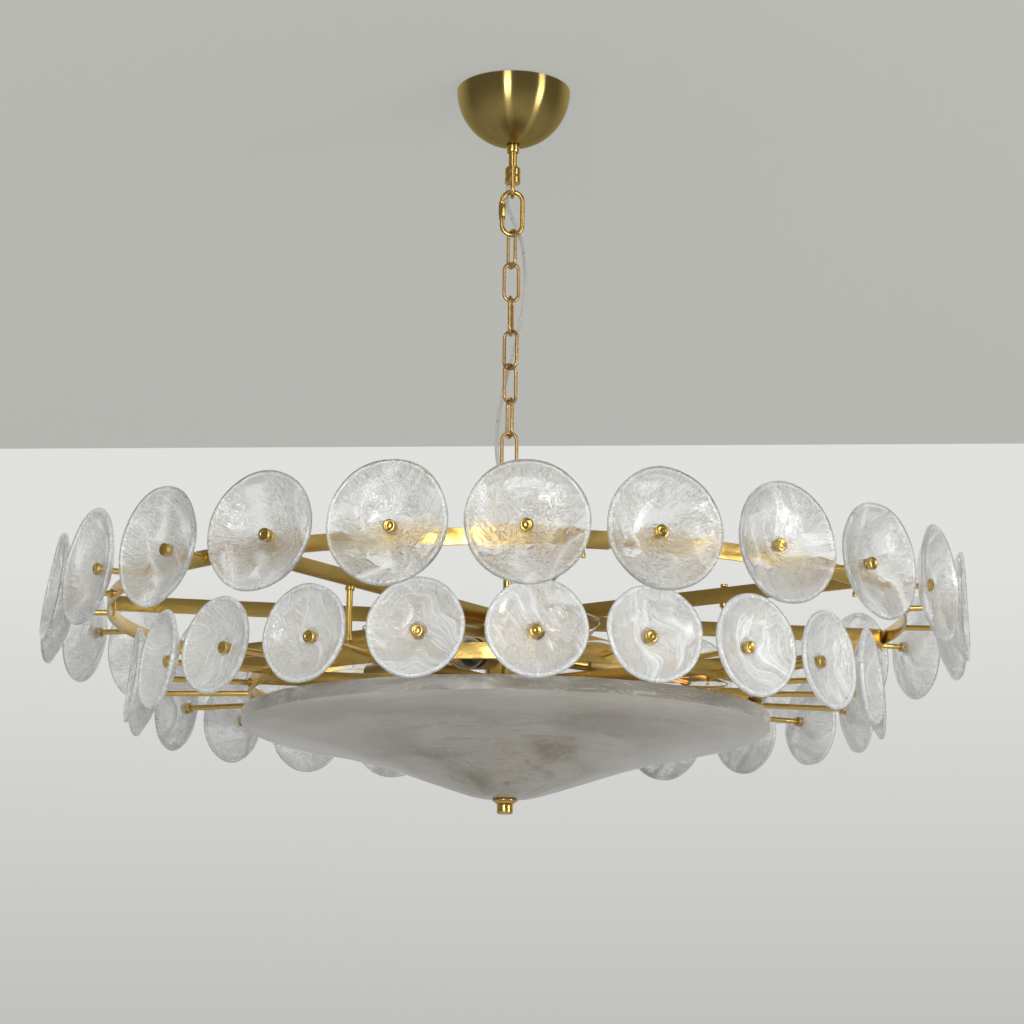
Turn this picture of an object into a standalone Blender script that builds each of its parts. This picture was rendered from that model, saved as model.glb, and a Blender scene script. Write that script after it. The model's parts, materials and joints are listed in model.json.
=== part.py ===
"""Glass disc chandelier: two tiers of glass discs on brass rings, a glass dish below, hung on a chain.

Metres, +Z up. The origin is the middle of the ceiling bracket's upper face, so everything hangs below zero.
An azimuth of 0 faces -Y, the front, and grows towards +X.
"""

from math import asin, atan2, cos, pi, radians, sin, sqrt, tau

import bmesh
import bpy
from mathutils import Matrix, Vector

# Clearances
SEAT_GAP = 0.0003  # between two pieces that touch on the real fixture
OVERLAP = 0.001  # how far two shapes of one piece run into each other before they are joined

# Ceiling bracket and its nut
BRACKET_LENGTH = 0.104
BRACKET_WIDTH = 0.024
BRACKET_THICKNESS = 0.003
BRACKET_ROOF = 0.001  # metal left above the end of the stem
BRACKET_HOLE_RADIUS = 0.0025
BRACKET_HOLE_INSET = 0.012
NUT_RADIUS = 0.0095
NUT_HEIGHT = 0.005

# Canopy and the tube through it
CANOPY_RADIUS = 0.0635
CANOPY_WALL = 0.0012
CANOPY_CEILING_GAP = 0.0008
STEM_RADIUS = 0.005
COLLAR_RADIUS = 0.0075
COLLAR_HEIGHT = 0.009
CANOPY_TRAVEL = 0.0173

# Loops at both ends of the chain
LOOP_COLLAR_RADIUS = 0.0093
LOOP_COLLAR_HEIGHT = 0.0185
LOOP_RADIUS = 0.0075
LOOP_WIRE = 0.0025
LOOP_SINK = 0.0027
CEILING_LOOP_TURN = radians(90)

# Quick link with its screw sleeve
QUICK_LENGTH = 0.056
QUICK_WIDTH = 0.0285
QUICK_WIRE = 0.00275
QUICK_MOUTH = 0.0042
QUICK_THREAD = 0.0022
SLEEVE_LENGTH = 0.0205
SLEEVE_WALL = 0.0021
SLEEVE_RISE = 0.0033

# Chain
LINK_COUNT = 7
LINK_LENGTH = 0.047
LINK_WIDTH = 0.020
LINK_WIRE = 0.002
LINK_FIRST_TURN = radians(-62)
LINK_TWIST = radians(70)

# Discs: a tier's circle follows from its discs and the space between them
DISC_SIDES = 15
UPPER_COUNT = 24
UPPER_DISC_RADIUS = 0.057
UPPER_DISC_SPACE = 0.0103
UPPER_DISC_DEPTH = 0.0175
LOWER_COUNT = 22
LOWER_DISC_RADIUS = 0.048
LOWER_DISC_SPACE = 0.0144
LOWER_DISC_DEPTH = 0.0165
GLASS_THICKNESS = 0.005
DISC_MIDDLE_SHARE = 0.6  # of the disc's radius, where its bowl is sampled
UPPER_FIRST_TURN = radians(1.3)
LOWER_FIRST_TURN = radians(3.3)
TIER_DROP = 0.0796

# Rods that carry the discs, each with a collar behind the glass and a cap before it
ROD_SIDES = 5
ROD_RADIUS = 0.003
ROD_COLLAR_RADIUS = 0.0055
ROD_COLLAR_HEIGHT = 0.0025
CAP_RADIUS = 0.006
CAP_HEIGHT = 0.0045
UPPER_ROD_REACH = 0.0525
LOWER_ROD_REACH = 0.1145

# Frame of brass bands, standing on edge
BAND_HEIGHT = 0.016
BAND_THICKNESS = 0.003
FRAME_BELOW_LOOP = 0.1353
SPOKE_COUNT = 8
SPOKE_TURN = radians(9)
SPOKE_TAB = 0.022
LOWER_SPOKE_RISE = 0.008
UPPER_HUB_RADIUS = 0.026
HUB_RING_WALL = 0.004
HUB_NUT_RADIUS = 0.011
HUB_NUT_HEIGHT = 0.018
HANGER_RADIUS = 0.0032
HANGER_COUNT = 4
HANGER_FIRST_SPOKE = 1

# Lamps on a hub in the middle
LAMP_SIDES = 8
LAMP_COUNT = 8
LAMP_HUB_RADIUS = 0.023
LAMP_HUB_HEIGHT = 0.066
LAMP_ARM_RADIUS = 0.006
SLEEVE_TUBE_RADIUS = 0.0165
SLEEVE_TUBE_LENGTH = 0.062
UPPER_LAMP_START = 0.028
LOWER_LAMP_START = 0.092
UPPER_LAMP_BELOW_HUB = 0.0185
LOWER_LAMP_BELOW_HUB = 0.029
LOWER_LAMP_SLOPE = radians(9)
BULB_NECK_RADIUS = 0.0115
BULB_RADIUS = 0.0172
BULB_LENGTH = 0.086
BULB_BELLY_SHARE = 0.38
BULB_SHOULDER_SHARE = 0.72
BULB_SHOULDER_RADIUS = 0.0115
BULB_TIP_RADIUS = 0.0035

# Dish and what holds it
DISH_OVERHANG = 0.0075
DISH_LIP_BELOW_RING = 0.0154
DISH_LIP_HEIGHT = 0.0150
DISH_WALL = 0.006
DISH_DEPTH = 0.073
DISH_HOLE_RADIUS = 0.006
DISH_FLAT_RADIUS = 0.0145
# Shares of the dish's radius, and how far down the depth its outer face is there
DISH_OUTLINE_SHARES = ((0.96, 0.075), (0.86, 0.17), (0.7, 0.30), (0.5, 0.50), (0.3, 0.755), (0.13, 0.965))
DISH_ROD_RADIUS = 0.004
SEAT_RADIUS = 0.0135
SEAT_HEIGHT = 0.0055
FINIAL_RADIUS = 0.0087
FINIAL_HEIGHT = 0.0105
FINIAL_FLOOR = 0.0015
THREAD_IN_FINIAL = 0.0085

# Supply cord, laid round the chain from loop to loop
CORD_RADIUS = 0.00225
CORD_STEP = 0.0095
CORD_CLEARANCE = 0.0022
# Shares of the drop from loop to loop, of the cord's reach round the chain, and of a whole turn
CORD_ROUTE_SHARES = (
    (0.011, 0.480, 0.385),
    (0.027, 0.590, 0.369),
    (0.066, 0.690, 0.335),
    (0.119, 0.740, 0.220),
    (0.177, 1.030, 0.133),
    (0.242, 1.050, 0.064),
    (0.313, 1.060, 0.000),
    (0.383, 1.040, 0.042),
    (0.457, 1.000, 0.114),
    (0.530, 0.980, 0.186),
    (0.604, 0.980, 0.256),
    (0.678, 0.990, 0.319),
    (0.751, 0.980, 0.383),
    (0.825, 0.980, 0.442),
    (0.883, 0.980, 0.456),
    (0.933, 0.910, 0.440),
    (0.972, 0.680, 0.430),
)

# Derived sizes of the hanging train, from the ceiling down
STEM_BOTTOM = -(CANOPY_CEILING_GAP + CANOPY_RADIUS + COLLAR_HEIGHT + CANOPY_TRAVEL + SEAT_GAP)
CEILING_LOOP_FACE = STEM_BOTTOM - SEAT_GAP - LOOP_COLLAR_HEIGHT
LOOP_DROP = LOOP_RADIUS + LOOP_WIRE - LOOP_SINK  # from a collar's face to the loop's centre
CEILING_LOOP_CENTRE = CEILING_LOOP_FACE - LOOP_DROP
CEILING_LOOP_AXIS = CEILING_LOOP_CENTRE - LOOP_RADIUS
QUICK_TOP = CEILING_LOOP_AXIS + LOOP_WIRE + SEAT_GAP + QUICK_WIRE
QUICK_AXIS = QUICK_TOP - (QUICK_LENGTH - 2 * QUICK_WIRE)
LINK_SPAN = LINK_LENGTH - 2 * LINK_WIRE
LINK_PITCH = LINK_SPAN - 2 * LINK_WIRE - SEAT_GAP
FIRST_LINK_TOP = QUICK_AXIS + QUICK_WIRE + SEAT_GAP + LINK_WIRE
LAST_LINK_AXIS = FIRST_LINK_TOP - LINK_SPAN - (LINK_COUNT - 1) * LINK_PITCH
FIXTURE_LOOP_CENTRE = LAST_LINK_AXIS + LINK_WIRE + SEAT_GAP + LOOP_WIRE - LOOP_RADIUS
FIXTURE_LOOP_FACE = FIXTURE_LOOP_CENTRE - LOOP_DROP
FIXTURE_COLLAR_BOTTOM = FIXTURE_LOOP_FACE - LOOP_COLLAR_HEIGHT

# Derived sizes of the frame
UPPER_Z = FIXTURE_COLLAR_BOTTOM - FRAME_BELOW_LOOP
LOWER_Z = UPPER_Z - TIER_DROP
LOWER_SPOKE_Z = LOWER_Z + LOWER_SPOKE_RISE
UPPER_REACH = UPPER_COUNT * (2 * UPPER_DISC_RADIUS + UPPER_DISC_SPACE) / tau
LOWER_REACH = LOWER_COUNT * (2 * LOWER_DISC_RADIUS + LOWER_DISC_SPACE) / tau
UPPER_RING_RADIUS = UPPER_REACH - UPPER_ROD_REACH
LOWER_RING_RADIUS = LOWER_REACH - LOWER_ROD_REACH
LAMP_HUB_TOP = UPPER_Z - BAND_HEIGHT / 2 - SEAT_GAP
LAMP_HUB_BOTTOM = LAMP_HUB_TOP - LAMP_HUB_HEIGHT

# Derived sizes of the dish
DISH_RADIUS = LOWER_RING_RADIUS + DISH_OVERHANG
DISH_TOP = LOWER_Z - BAND_HEIGHT / 2 - DISH_LIP_BELOW_RING
DISH_LIP_BOTTOM = DISH_TOP - DISH_LIP_HEIGHT
DISH_BOTTOM = DISH_LIP_BOTTOM - DISH_DEPTH
SEAT_TOP = DISH_BOTTOM - SEAT_GAP
FINIAL_TOP = SEAT_TOP - SEAT_HEIGHT - SEAT_GAP


def clear_scene():
    for obj in list(bpy.data.objects):
        bpy.data.objects.remove(obj, do_unlink=True)


def material(name, colour, roughness, metallic, transmission=0.0):
    made = bpy.data.materials.new(name)
    made.use_nodes = True
    shader = made.node_tree.nodes["Principled BSDF"]
    shader.inputs["Base Color"].default_value = (*colour, 1.0)
    shader.inputs["Roughness"].default_value = roughness
    shader.inputs["Metallic"].default_value = metallic
    shader.inputs["Transmission Weight"].default_value = transmission
    made.diffuse_color = (*colour, 1.0 - 0.6 * transmission)
    return made


def outward(azimuth, height=0.0, slope=0.0, start=0.0):
    """The matrix that turns local +Z to point out from the axis at an azimuth, sloping down by slope."""
    turn = Matrix.Rotation(azimuth, 4, "Z") @ Matrix.Rotation(pi / 2 + slope, 4, "X")
    return Matrix.Translation((0, 0, height)) @ turn @ Matrix.Translation((0, 0, start))


def ring_of_verts(bm, radius, height, sides, matrix):
    turns = (tau * i / sides for i in range(sides))
    points = (Vector((radius * cos(t), radius * sin(t), height)) for t in turns)
    return [bm.verts.new(matrix @ point) for point in points]


def skin(bm, first, second):
    """Faces between two rings whose counts are alike, or one three times the other."""
    if len(first) == len(second):
        count = len(first)
        for i in range(count):
            j = (i + 1) % count
            bm.faces.new((first[i], first[j], second[j], second[i]))
        return
    few, many = sorted((first, second), key=len)
    for i, corner in enumerate(few):
        k = 3 * i
        after = few[(i + 1) % len(few)]
        bm.faces.new((corner, many[k - 1], many[k]))
        bm.faces.new((corner, many[k], many[k + 1]))
        bm.faces.new((corner, many[k + 1], many[k + 2], after))


def add_turned(bm, rings, matrix=Matrix.Identity(4), closed=False):
    """A turned solid from (radius, height, sides) rings. Closed joins the last ring to the first."""
    made = [ring_of_verts(bm, *ring, matrix) for ring in rings]
    for first, second in zip(made, made[1:]):
        skin(bm, first, second)
    if closed:
        skin(bm, made[-1], made[0])
    else:
        bm.faces.new(made[0])
        bm.faces.new(made[-1])


def add_tube(bm, path, radius, sides, across, closed):
    """A round tube along a flat path. across is the direction square to the path's plane."""
    count = len(path)
    made = []
    for i, point in enumerate(path):
        before = path[i - 1] if closed or i > 0 else point
        after = path[(i + 1) % count] if closed or i < count - 1 else point
        along = (after - before).normalized()
        side = along.cross(across)
        turns = (tau * (k + 0.5) / sides for k in range(sides))
        made.append([bm.verts.new(point + radius * (cos(t) * across + sin(t) * side)) for t in turns])
    for first, second in zip(made, made[1:]):
        skin(bm, first, second)
    if closed:
        skin(bm, made[-1], made[0])
    else:
        bm.faces.new(made[0])
        bm.faces.new(made[-1])


def add_prism(bm, outline, height, middle, matrix=Matrix.Identity(4)):
    """A flat outline extruded upwards, centred on middle."""
    verts = [bm.verts.new(matrix @ Vector((x, y, middle - height / 2))) for x, y in outline]
    face = bm.faces.new(verts)
    top = bmesh.ops.extrude_face_region(bm, geom=[face])["geom"]
    lifted = [item for item in top if isinstance(item, bmesh.types.BMVert)]
    bmesh.ops.translate(bm, verts=lifted, vec=(0, 0, height))


def finish(bm, name, materials, smooth_below=radians(40)):
    bmesh.ops.recalc_face_normals(bm, faces=bm.faces)
    mesh = bpy.data.meshes.new(name)
    bm.to_mesh(mesh)
    bm.free()
    for item in materials:
        mesh.materials.append(item)
    mesh.shade_smooth()
    mesh.set_sharp_from_angle(angle=smooth_below)
    return mesh


def place(name, mesh, matrix=Matrix.Identity(4), pivot=(0, 0, 0)):
    """An object whose origin is at pivot, with the mesh's points where matrix puts them."""
    shift = Matrix.Translation(pivot)
    if tuple(pivot) != (0, 0, 0):
        mesh.transform(shift.inverted())
    obj = bpy.data.objects.new(name, mesh)
    obj.matrix_world = shift @ matrix
    bpy.context.scene.collection.objects.link(obj)
    return obj


def turned(name, rings, materials, closed=False, pivot=(0, 0, 0)):
    bm = bmesh.new()
    add_turned(bm, rings, closed=closed)
    return place(name, finish(bm, name, materials), pivot=pivot)


def helper(name, mesh):
    obj = place(name, mesh)
    obj.hide_render = True
    obj.display_type = "WIRE"
    return obj


def combine(obj, other, operation):
    modifier = obj.modifiers.new(operation.lower(), "BOOLEAN")
    modifier.operation = operation
    modifier.solver = "EXACT"
    modifier.object = other


def around(count, first, step=None):
    return [first + i * (step or tau / count) for i in range(count)]


def stadium(length, width, turn, middle, corner_steps):
    """The centre line of a link: two straight legs and two round ends, in the upright plane at turn."""
    radius = width / 2
    straight = length / 2 - radius
    points = []
    for end, start in ((1, 0.0), (-1, pi)):
        for i in range(corner_steps + 1):
            angle = start + pi * i / corner_steps
            points.append((radius * cos(angle), middle + end * straight + radius * sin(angle)))
    return [Vector((x * cos(turn), x * sin(turn), z)) for x, z in points]


def plane_normal(turn):
    return Vector((-sin(turn), cos(turn), 0))


def make_ceiling_pieces(steel, brass):
    bm = bmesh.new()
    half_length, half_width = BRACKET_LENGTH / 2, BRACKET_WIDTH / 2
    corners = ((-1, -1), (1, -1), (1, 1), (-1, 1))
    outline = [(x * half_length, y * half_width) for x, y in corners]
    add_prism(bm, outline, BRACKET_THICKNESS, -BRACKET_THICKNESS / 2)
    bracket = place("ceiling_bracket", finish(bm, "ceiling_bracket", [steel]))
    bm = bmesh.new()
    holes = [(0, STEM_RADIUS + SEAT_GAP, -BRACKET_ROOF)]
    hole_reach = half_length - BRACKET_HOLE_INSET
    holes += [(side * hole_reach, BRACKET_HOLE_RADIUS, OVERLAP) for side in (-1, 1)]
    for x, radius, top in holes:
        at = Matrix.Translation((x, 0, 0))
        add_turned(bm, [(radius, -BRACKET_THICKNESS - OVERLAP, 12), (radius, top, 12)], at)
    combine(bracket, helper("bracket_holes", finish(bm, "bracket_holes", [])), "DIFFERENCE")

    nut_top = -BRACKET_THICKNESS - SEAT_GAP
    bore = (STEM_RADIUS + SEAT_GAP) / cos(pi / 6)
    nut = [(bore, nut_top, 6), (NUT_RADIUS, nut_top, 6)]
    nut += [(NUT_RADIUS, nut_top - NUT_HEIGHT, 6), (bore, nut_top - NUT_HEIGHT, 6)]
    turned("bracket_nut", nut, [steel], closed=True)

    stem_top = -BRACKET_ROOF - SEAT_GAP
    turned("canopy_stem", [(STEM_RADIUS, stem_top, 12), (STEM_RADIUS, STEM_BOTTOM, 12)], [brass])


def make_canopy(satin):
    sides, steps = 24, 6
    middle = -CANOPY_CEILING_GAP
    hole = STEM_RADIUS + SEAT_GAP
    inner = CANOPY_RADIUS - CANOPY_WALL
    outer_end = asin(hole / CANOPY_RADIUS)
    inner_end = asin(hole / inner)

    def shell(radius, end):
        turns = (pi / 2 - (pi / 2 - end) * i / steps for i in range(steps + 1))
        return [(radius * sin(t), middle - radius * cos(t), sides) for t in turns]

    rings = shell(CANOPY_RADIUS, outer_end) + shell(inner, inner_end)[::-1]
    turned("canopy", rings, [satin], closed=True)

    top = middle - CANOPY_RADIUS * cos(outer_end) - SEAT_GAP
    rings = [(hole, top, 12), (COLLAR_RADIUS, top, 12)]
    rings += [(COLLAR_RADIUS, top - COLLAR_HEIGHT, 12), (hole, top - COLLAR_HEIGHT, 12)]
    turned("canopy_collar", rings, [satin], closed=True)


def make_loop(name, centre, turn, face, far_face, brass):
    """A collar with a ring of wire sunk into its face."""
    bm = bmesh.new()
    lip = min(face, far_face), max(face, far_face)
    add_turned(bm, [(LOOP_COLLAR_RADIUS, lip[0], 12), (LOOP_COLLAR_RADIUS, lip[1], 12)])
    obj = place(name, finish(bm, name, [brass]), pivot=(0, 0, centre))
    bm = bmesh.new()
    flat = [(LOOP_RADIUS * cos(t), centre + LOOP_RADIUS * sin(t)) for t in around(16, 0.0)]
    path = [Vector((x * cos(turn), x * sin(turn), z)) for x, z in flat]
    add_tube(bm, path, LOOP_WIRE, 6, plane_normal(turn), True)
    combine(obj, helper(name + "_wire", finish(bm, name + "_wire", [brass])), "UNION")
    return obj


def make_quick_link(brass):
    """A link whose left leg has a mouth, closed by a six-sided sleeve that runs on the leg."""
    half_width = QUICK_WIDTH / 2 - QUICK_WIRE
    middle = (QUICK_TOP + QUICK_AXIS) / 2
    straight = QUICK_LENGTH / 2 - QUICK_WIRE - half_width
    top = middle + SLEEVE_LENGTH / 2 + SLEEVE_RISE
    mouth = top - QUICK_THREAD
    path = [(-half_width, mouth)]
    for end, start in ((1, pi), (-1, 0.0)):
        for i in range(7):
            angle = start - pi * i / 6
            path.append((half_width * cos(angle), middle + end * straight + half_width * sin(angle)))
    path.append((-half_width, mouth - QUICK_MOUTH))
    bm = bmesh.new()
    add_tube(bm, [Vector((x, 0, z)) for x, z in path], QUICK_WIRE, 8, Vector((0, 1, 0)), False)
    place("quick_link", finish(bm, "quick_link", [brass]), pivot=(0, 0, CEILING_LOOP_AXIS))

    bore = (QUICK_WIRE + SEAT_GAP) / cos(pi / 6)
    outer = QUICK_WIRE + SEAT_GAP + SLEEVE_WALL
    bottom = top - SLEEVE_LENGTH
    rings = [(bore, top, 6), (outer, top, 6), (outer, bottom, 6), (bore, bottom, 6)]
    bm = bmesh.new()
    add_turned(bm, rings, Matrix.Translation((-half_width, 0, 0)), closed=True)
    place("quick_link_sleeve", finish(bm, "quick_link_sleeve", [brass]), pivot=(-half_width, 0, top))


def make_chain(brass):
    for i in range(LINK_COUNT):
        top = FIRST_LINK_TOP - i * LINK_PITCH
        turn = LINK_FIRST_TURN + i * LINK_TWIST
        middle = top - LINK_SPAN / 2
        path = stadium(LINK_SPAN, LINK_WIDTH - 2 * LINK_WIRE, turn, middle, 6)
        name = f"chain_link_{i + 1}"
        bm = bmesh.new()
        add_tube(bm, path, LINK_WIRE, 6, plane_normal(turn), True)
        hung_from = top - LINK_WIRE - SEAT_GAP - (LINK_WIRE if i else QUICK_WIRE)
        place(name, finish(bm, name, [brass]), pivot=(0, 0, hung_from))


def disc_rings(radius, depth):
    """Back and front faces of a disc that is hollow on its outer side, local +Z pointing outwards."""
    middle = DISC_MIDDLE_SHARE * radius
    rise = depth * DISC_MIDDLE_SHARE**2
    hole = (ROD_RADIUS + SEAT_GAP) / cos(pi / ROD_SIDES)
    return [
        (hole, 0, ROD_SIDES),
        (middle, rise, DISC_SIDES),
        (radius, depth, DISC_SIDES),
        (radius, depth + GLASS_THICKNESS, DISC_SIDES),
        (middle, rise + GLASS_THICKNESS, DISC_SIDES),
        (hole, GLASS_THICKNESS, ROD_SIDES),
    ]


def cap_under(radius, depth):
    """Height of the cap's underside: clear of the glass that rises under the cap's edge."""
    slope = depth * DISC_MIDDLE_SHARE**2 / (DISC_MIDDLE_SHARE * radius)
    return GLASS_THICKNESS + slope * CAP_RADIUS + SEAT_GAP


def upper_rod_rings(length):
    """Rod, collar and cap. Height 0 is the glass's back face, and length is how far back the rod starts."""
    under = cap_under(UPPER_DISC_RADIUS, UPPER_DISC_DEPTH)
    shape = (
        (ROD_RADIUS, -length),
        (ROD_RADIUS, -SEAT_GAP - ROD_COLLAR_HEIGHT),
        (ROD_COLLAR_RADIUS, -SEAT_GAP - ROD_COLLAR_HEIGHT),
        (ROD_COLLAR_RADIUS, -SEAT_GAP),
        (ROD_RADIUS, -SEAT_GAP),
        (ROD_RADIUS, under),
        (CAP_RADIUS, under),
        (CAP_RADIUS, under + CAP_HEIGHT),
    )
    return [(radius, height, ROD_SIDES) for radius, height in shape]


def lower_rod_rings(length):
    """Rod, collar, disc and cap in one turned shape."""
    radius, depth = LOWER_DISC_RADIUS, LOWER_DISC_DEPTH
    return [
        (ROD_RADIUS, -length, ROD_SIDES),
        (ROD_RADIUS, -ROD_COLLAR_HEIGHT, ROD_SIDES),
        (ROD_COLLAR_RADIUS, -ROD_COLLAR_HEIGHT, ROD_SIDES),
        (ROD_COLLAR_RADIUS, 0, ROD_SIDES),
        (radius, depth, DISC_SIDES),
        (radius, depth + GLASS_THICKNESS, DISC_SIDES),
        (CAP_RADIUS, GLASS_THICKNESS, ROD_SIDES),
        (CAP_RADIUS, GLASS_THICKNESS + CAP_HEIGHT, ROD_SIDES),
    ]


def band_rings(radius, middle, sides):
    inner, outer = radius - BAND_THICKNESS / 2, radius + BAND_THICKNESS / 2
    low, high = middle - BAND_HEIGHT / 2, middle + BAND_HEIGHT / 2
    return [(inner, low, sides), (outer, low, sides), (outer, high, sides), (inner, high, sides)]


def make_tier(name, ring_radius, height, back_face, rings_of, turns, materials):
    """A ring with its rods joined on. back_face is the reach of the glass's back face."""
    obj = turned(name, band_rings(ring_radius, height, 2 * len(turns)), materials, closed=True)
    bm = bmesh.new()
    rod = rings_of(back_face - ring_radius)
    for azimuth in turns:
        add_turned(bm, rod, outward(azimuth, height, start=back_face))
    combine(obj, helper(name + "_rods", finish(bm, name + "_rods", materials)), "UNION")
    return obj


def make_upper_tier(brass, glass):
    back_face = UPPER_REACH - CAP_HEIGHT - cap_under(UPPER_DISC_RADIUS, UPPER_DISC_DEPTH)
    turns = around(UPPER_COUNT, UPPER_FIRST_TURN)
    make_tier("upper_ring", UPPER_RING_RADIUS, UPPER_Z, back_face, upper_rod_rings, turns, [brass])
    bm = bmesh.new()
    add_turned(bm, disc_rings(UPPER_DISC_RADIUS, UPPER_DISC_DEPTH), closed=True)
    mesh = finish(bm, "upper_disc", [glass])
    for i, azimuth in enumerate(turns):
        place(f"upper_disc_{i + 1:02d}", mesh, outward(azimuth, UPPER_Z, start=back_face))


def make_lower_tier(brass, glass):
    back_face = LOWER_REACH - CAP_HEIGHT - GLASS_THICKNESS
    turns = around(LOWER_COUNT, LOWER_FIRST_TURN)
    name = "lower_ring_with_discs"
    make_tier(name, LOWER_RING_RADIUS, LOWER_Z, back_face, lower_rod_rings, turns, [brass, glass])


def spoke_outline(start, end):
    """A strip from start to end along -Y, its end bent round to lie along the ring."""
    half = BAND_THICKNESS / 2
    inner = end - BAND_THICKNESS
    outline = [(-half, -start), (half, -start), (half, -sqrt(inner**2 - half**2))]
    turns = [asin(half / inner) + SPOKE_TAB / end * share for share in (0.5, 1.0)]
    outline += [(inner * sin(t), -inner * cos(t)) for t in turns]
    outline += [(end * sin(t), -end * cos(t)) for t in reversed(turns)]
    outline.append((-half, -sqrt(end**2 - half**2)))
    return outline


def make_spokes(name, middle, bore, hub_radius, ring_radius, sides, brass):
    """Flat bars from a hub ring out to the inside of a band ring."""
    low, high = middle - BAND_HEIGHT / 2, middle + BAND_HEIGHT / 2
    rings = [(bore, low, sides), (hub_radius, low, sides)]
    rings += [(hub_radius, high, sides), (bore, high, sides)]
    obj = turned(name, rings, [brass], closed=True)
    bm = bmesh.new()
    end = (ring_radius - BAND_THICKNESS / 2) * cos(pi / (2 * LOWER_COUNT)) - SEAT_GAP
    outline = spoke_outline(hub_radius - HUB_RING_WALL / 2, end)
    for azimuth in around(SPOKE_COUNT, SPOKE_TURN):
        add_prism(bm, outline, BAND_HEIGHT, middle, Matrix.Rotation(azimuth, 4, "Z"))
    combine(obj, helper(name + "_bars", finish(bm, name + "_bars", [brass])), "UNION")


def make_frame(brass):
    bore = (STEM_RADIUS + SEAT_GAP) / cos(pi / 16)
    make_spokes("upper_spokes", UPPER_Z, bore, UPPER_HUB_RADIUS, UPPER_RING_RADIUS, 16, brass)
    bore = (LAMP_HUB_RADIUS + SEAT_GAP) / cos(pi / 16)
    make_spokes("lower_spokes", LOWER_SPOKE_Z, bore, bore + HUB_RING_WALL, LOWER_RING_RADIUS, 16, brass)
    top = UPPER_Z - BAND_HEIGHT / 2 - SEAT_GAP
    bottom = LOWER_SPOKE_Z + BAND_HEIGHT / 2 + SEAT_GAP
    reach = LOWER_RING_RADIUS - HANGER_RADIUS
    turns = around(HANGER_COUNT, SPOKE_TURN - tau / SPOKE_COUNT * HANGER_FIRST_SPOKE)
    for i, azimuth in enumerate(turns):
        name = f"hanger_rod_{i + 1}"
        bm = bmesh.new()
        at = Matrix.Translation((reach * sin(azimuth), -reach * cos(azimuth), 0))
        add_turned(bm, [(HANGER_RADIUS, top, 8), (HANGER_RADIUS, bottom, 8)], at)
        place(name, finish(bm, name, [brass]))
    rings = [(STEM_RADIUS, FIXTURE_COLLAR_BOTTOM - SEAT_GAP, 12), (STEM_RADIUS, LAMP_HUB_TOP + SEAT_GAP, 12)]
    turned("fixture_stem", rings, [brass])
    bore = (STEM_RADIUS + SEAT_GAP) / cos(pi / 12)
    low = UPPER_Z + BAND_HEIGHT / 2 + SEAT_GAP
    rings = [(bore, low, 12), (HUB_NUT_RADIUS, low, 12)]
    rings += [(HUB_NUT_RADIUS, low + HUB_NUT_HEIGHT, 12), (bore, low + HUB_NUT_HEIGHT, 12)]
    turned("hub_nut", rings, [brass], closed=True)


def lamp_rings(arm_start, sleeve_start):
    """Arm, socket sleeve and candle bulb along one line."""
    end = sleeve_start + SLEEVE_TUBE_LENGTH
    shape = (
        (LAMP_ARM_RADIUS, arm_start),
        (LAMP_ARM_RADIUS, sleeve_start),
        (SLEEVE_TUBE_RADIUS, sleeve_start),
        (SLEEVE_TUBE_RADIUS, end),
        (BULB_NECK_RADIUS, end),
        (BULB_RADIUS, end + BULB_LENGTH * BULB_BELLY_SHARE),
        (BULB_SHOULDER_RADIUS, end + BULB_LENGTH * BULB_SHOULDER_SHARE),
        (BULB_TIP_RADIUS, end + BULB_LENGTH),
    )
    return [(radius, height, LAMP_SIDES) for radius, height in shape]


def make_lamps(brass, bulb_glass):
    """A hub with lamps in the sectors between the spokes, one high and level, the next low and sloping."""
    hub = [(LAMP_HUB_RADIUS, LAMP_HUB_BOTTOM, 16), (LAMP_HUB_RADIUS, LAMP_HUB_TOP, 16)]
    obj = turned("lamp_cluster", hub, [brass, bulb_glass])
    arm_start = LAMP_HUB_RADIUS - 2 * OVERLAP
    bm = bmesh.new()
    for i, azimuth in enumerate(around(LAMP_COUNT, SPOKE_TURN + pi / SPOKE_COUNT)):
        if i % 2:
            at = outward(azimuth, LAMP_HUB_TOP - LOWER_LAMP_BELOW_HUB, slope=LOWER_LAMP_SLOPE)
            add_turned(bm, lamp_rings(arm_start, LOWER_LAMP_START), at)
        else:
            at = outward(azimuth, LAMP_HUB_TOP - UPPER_LAMP_BELOW_HUB)
            add_turned(bm, lamp_rings(arm_start, UPPER_LAMP_START), at)
    combine(obj, helper("lamp_bodies", finish(bm, "lamp_bodies", [brass, bulb_glass])), "UNION")


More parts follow.
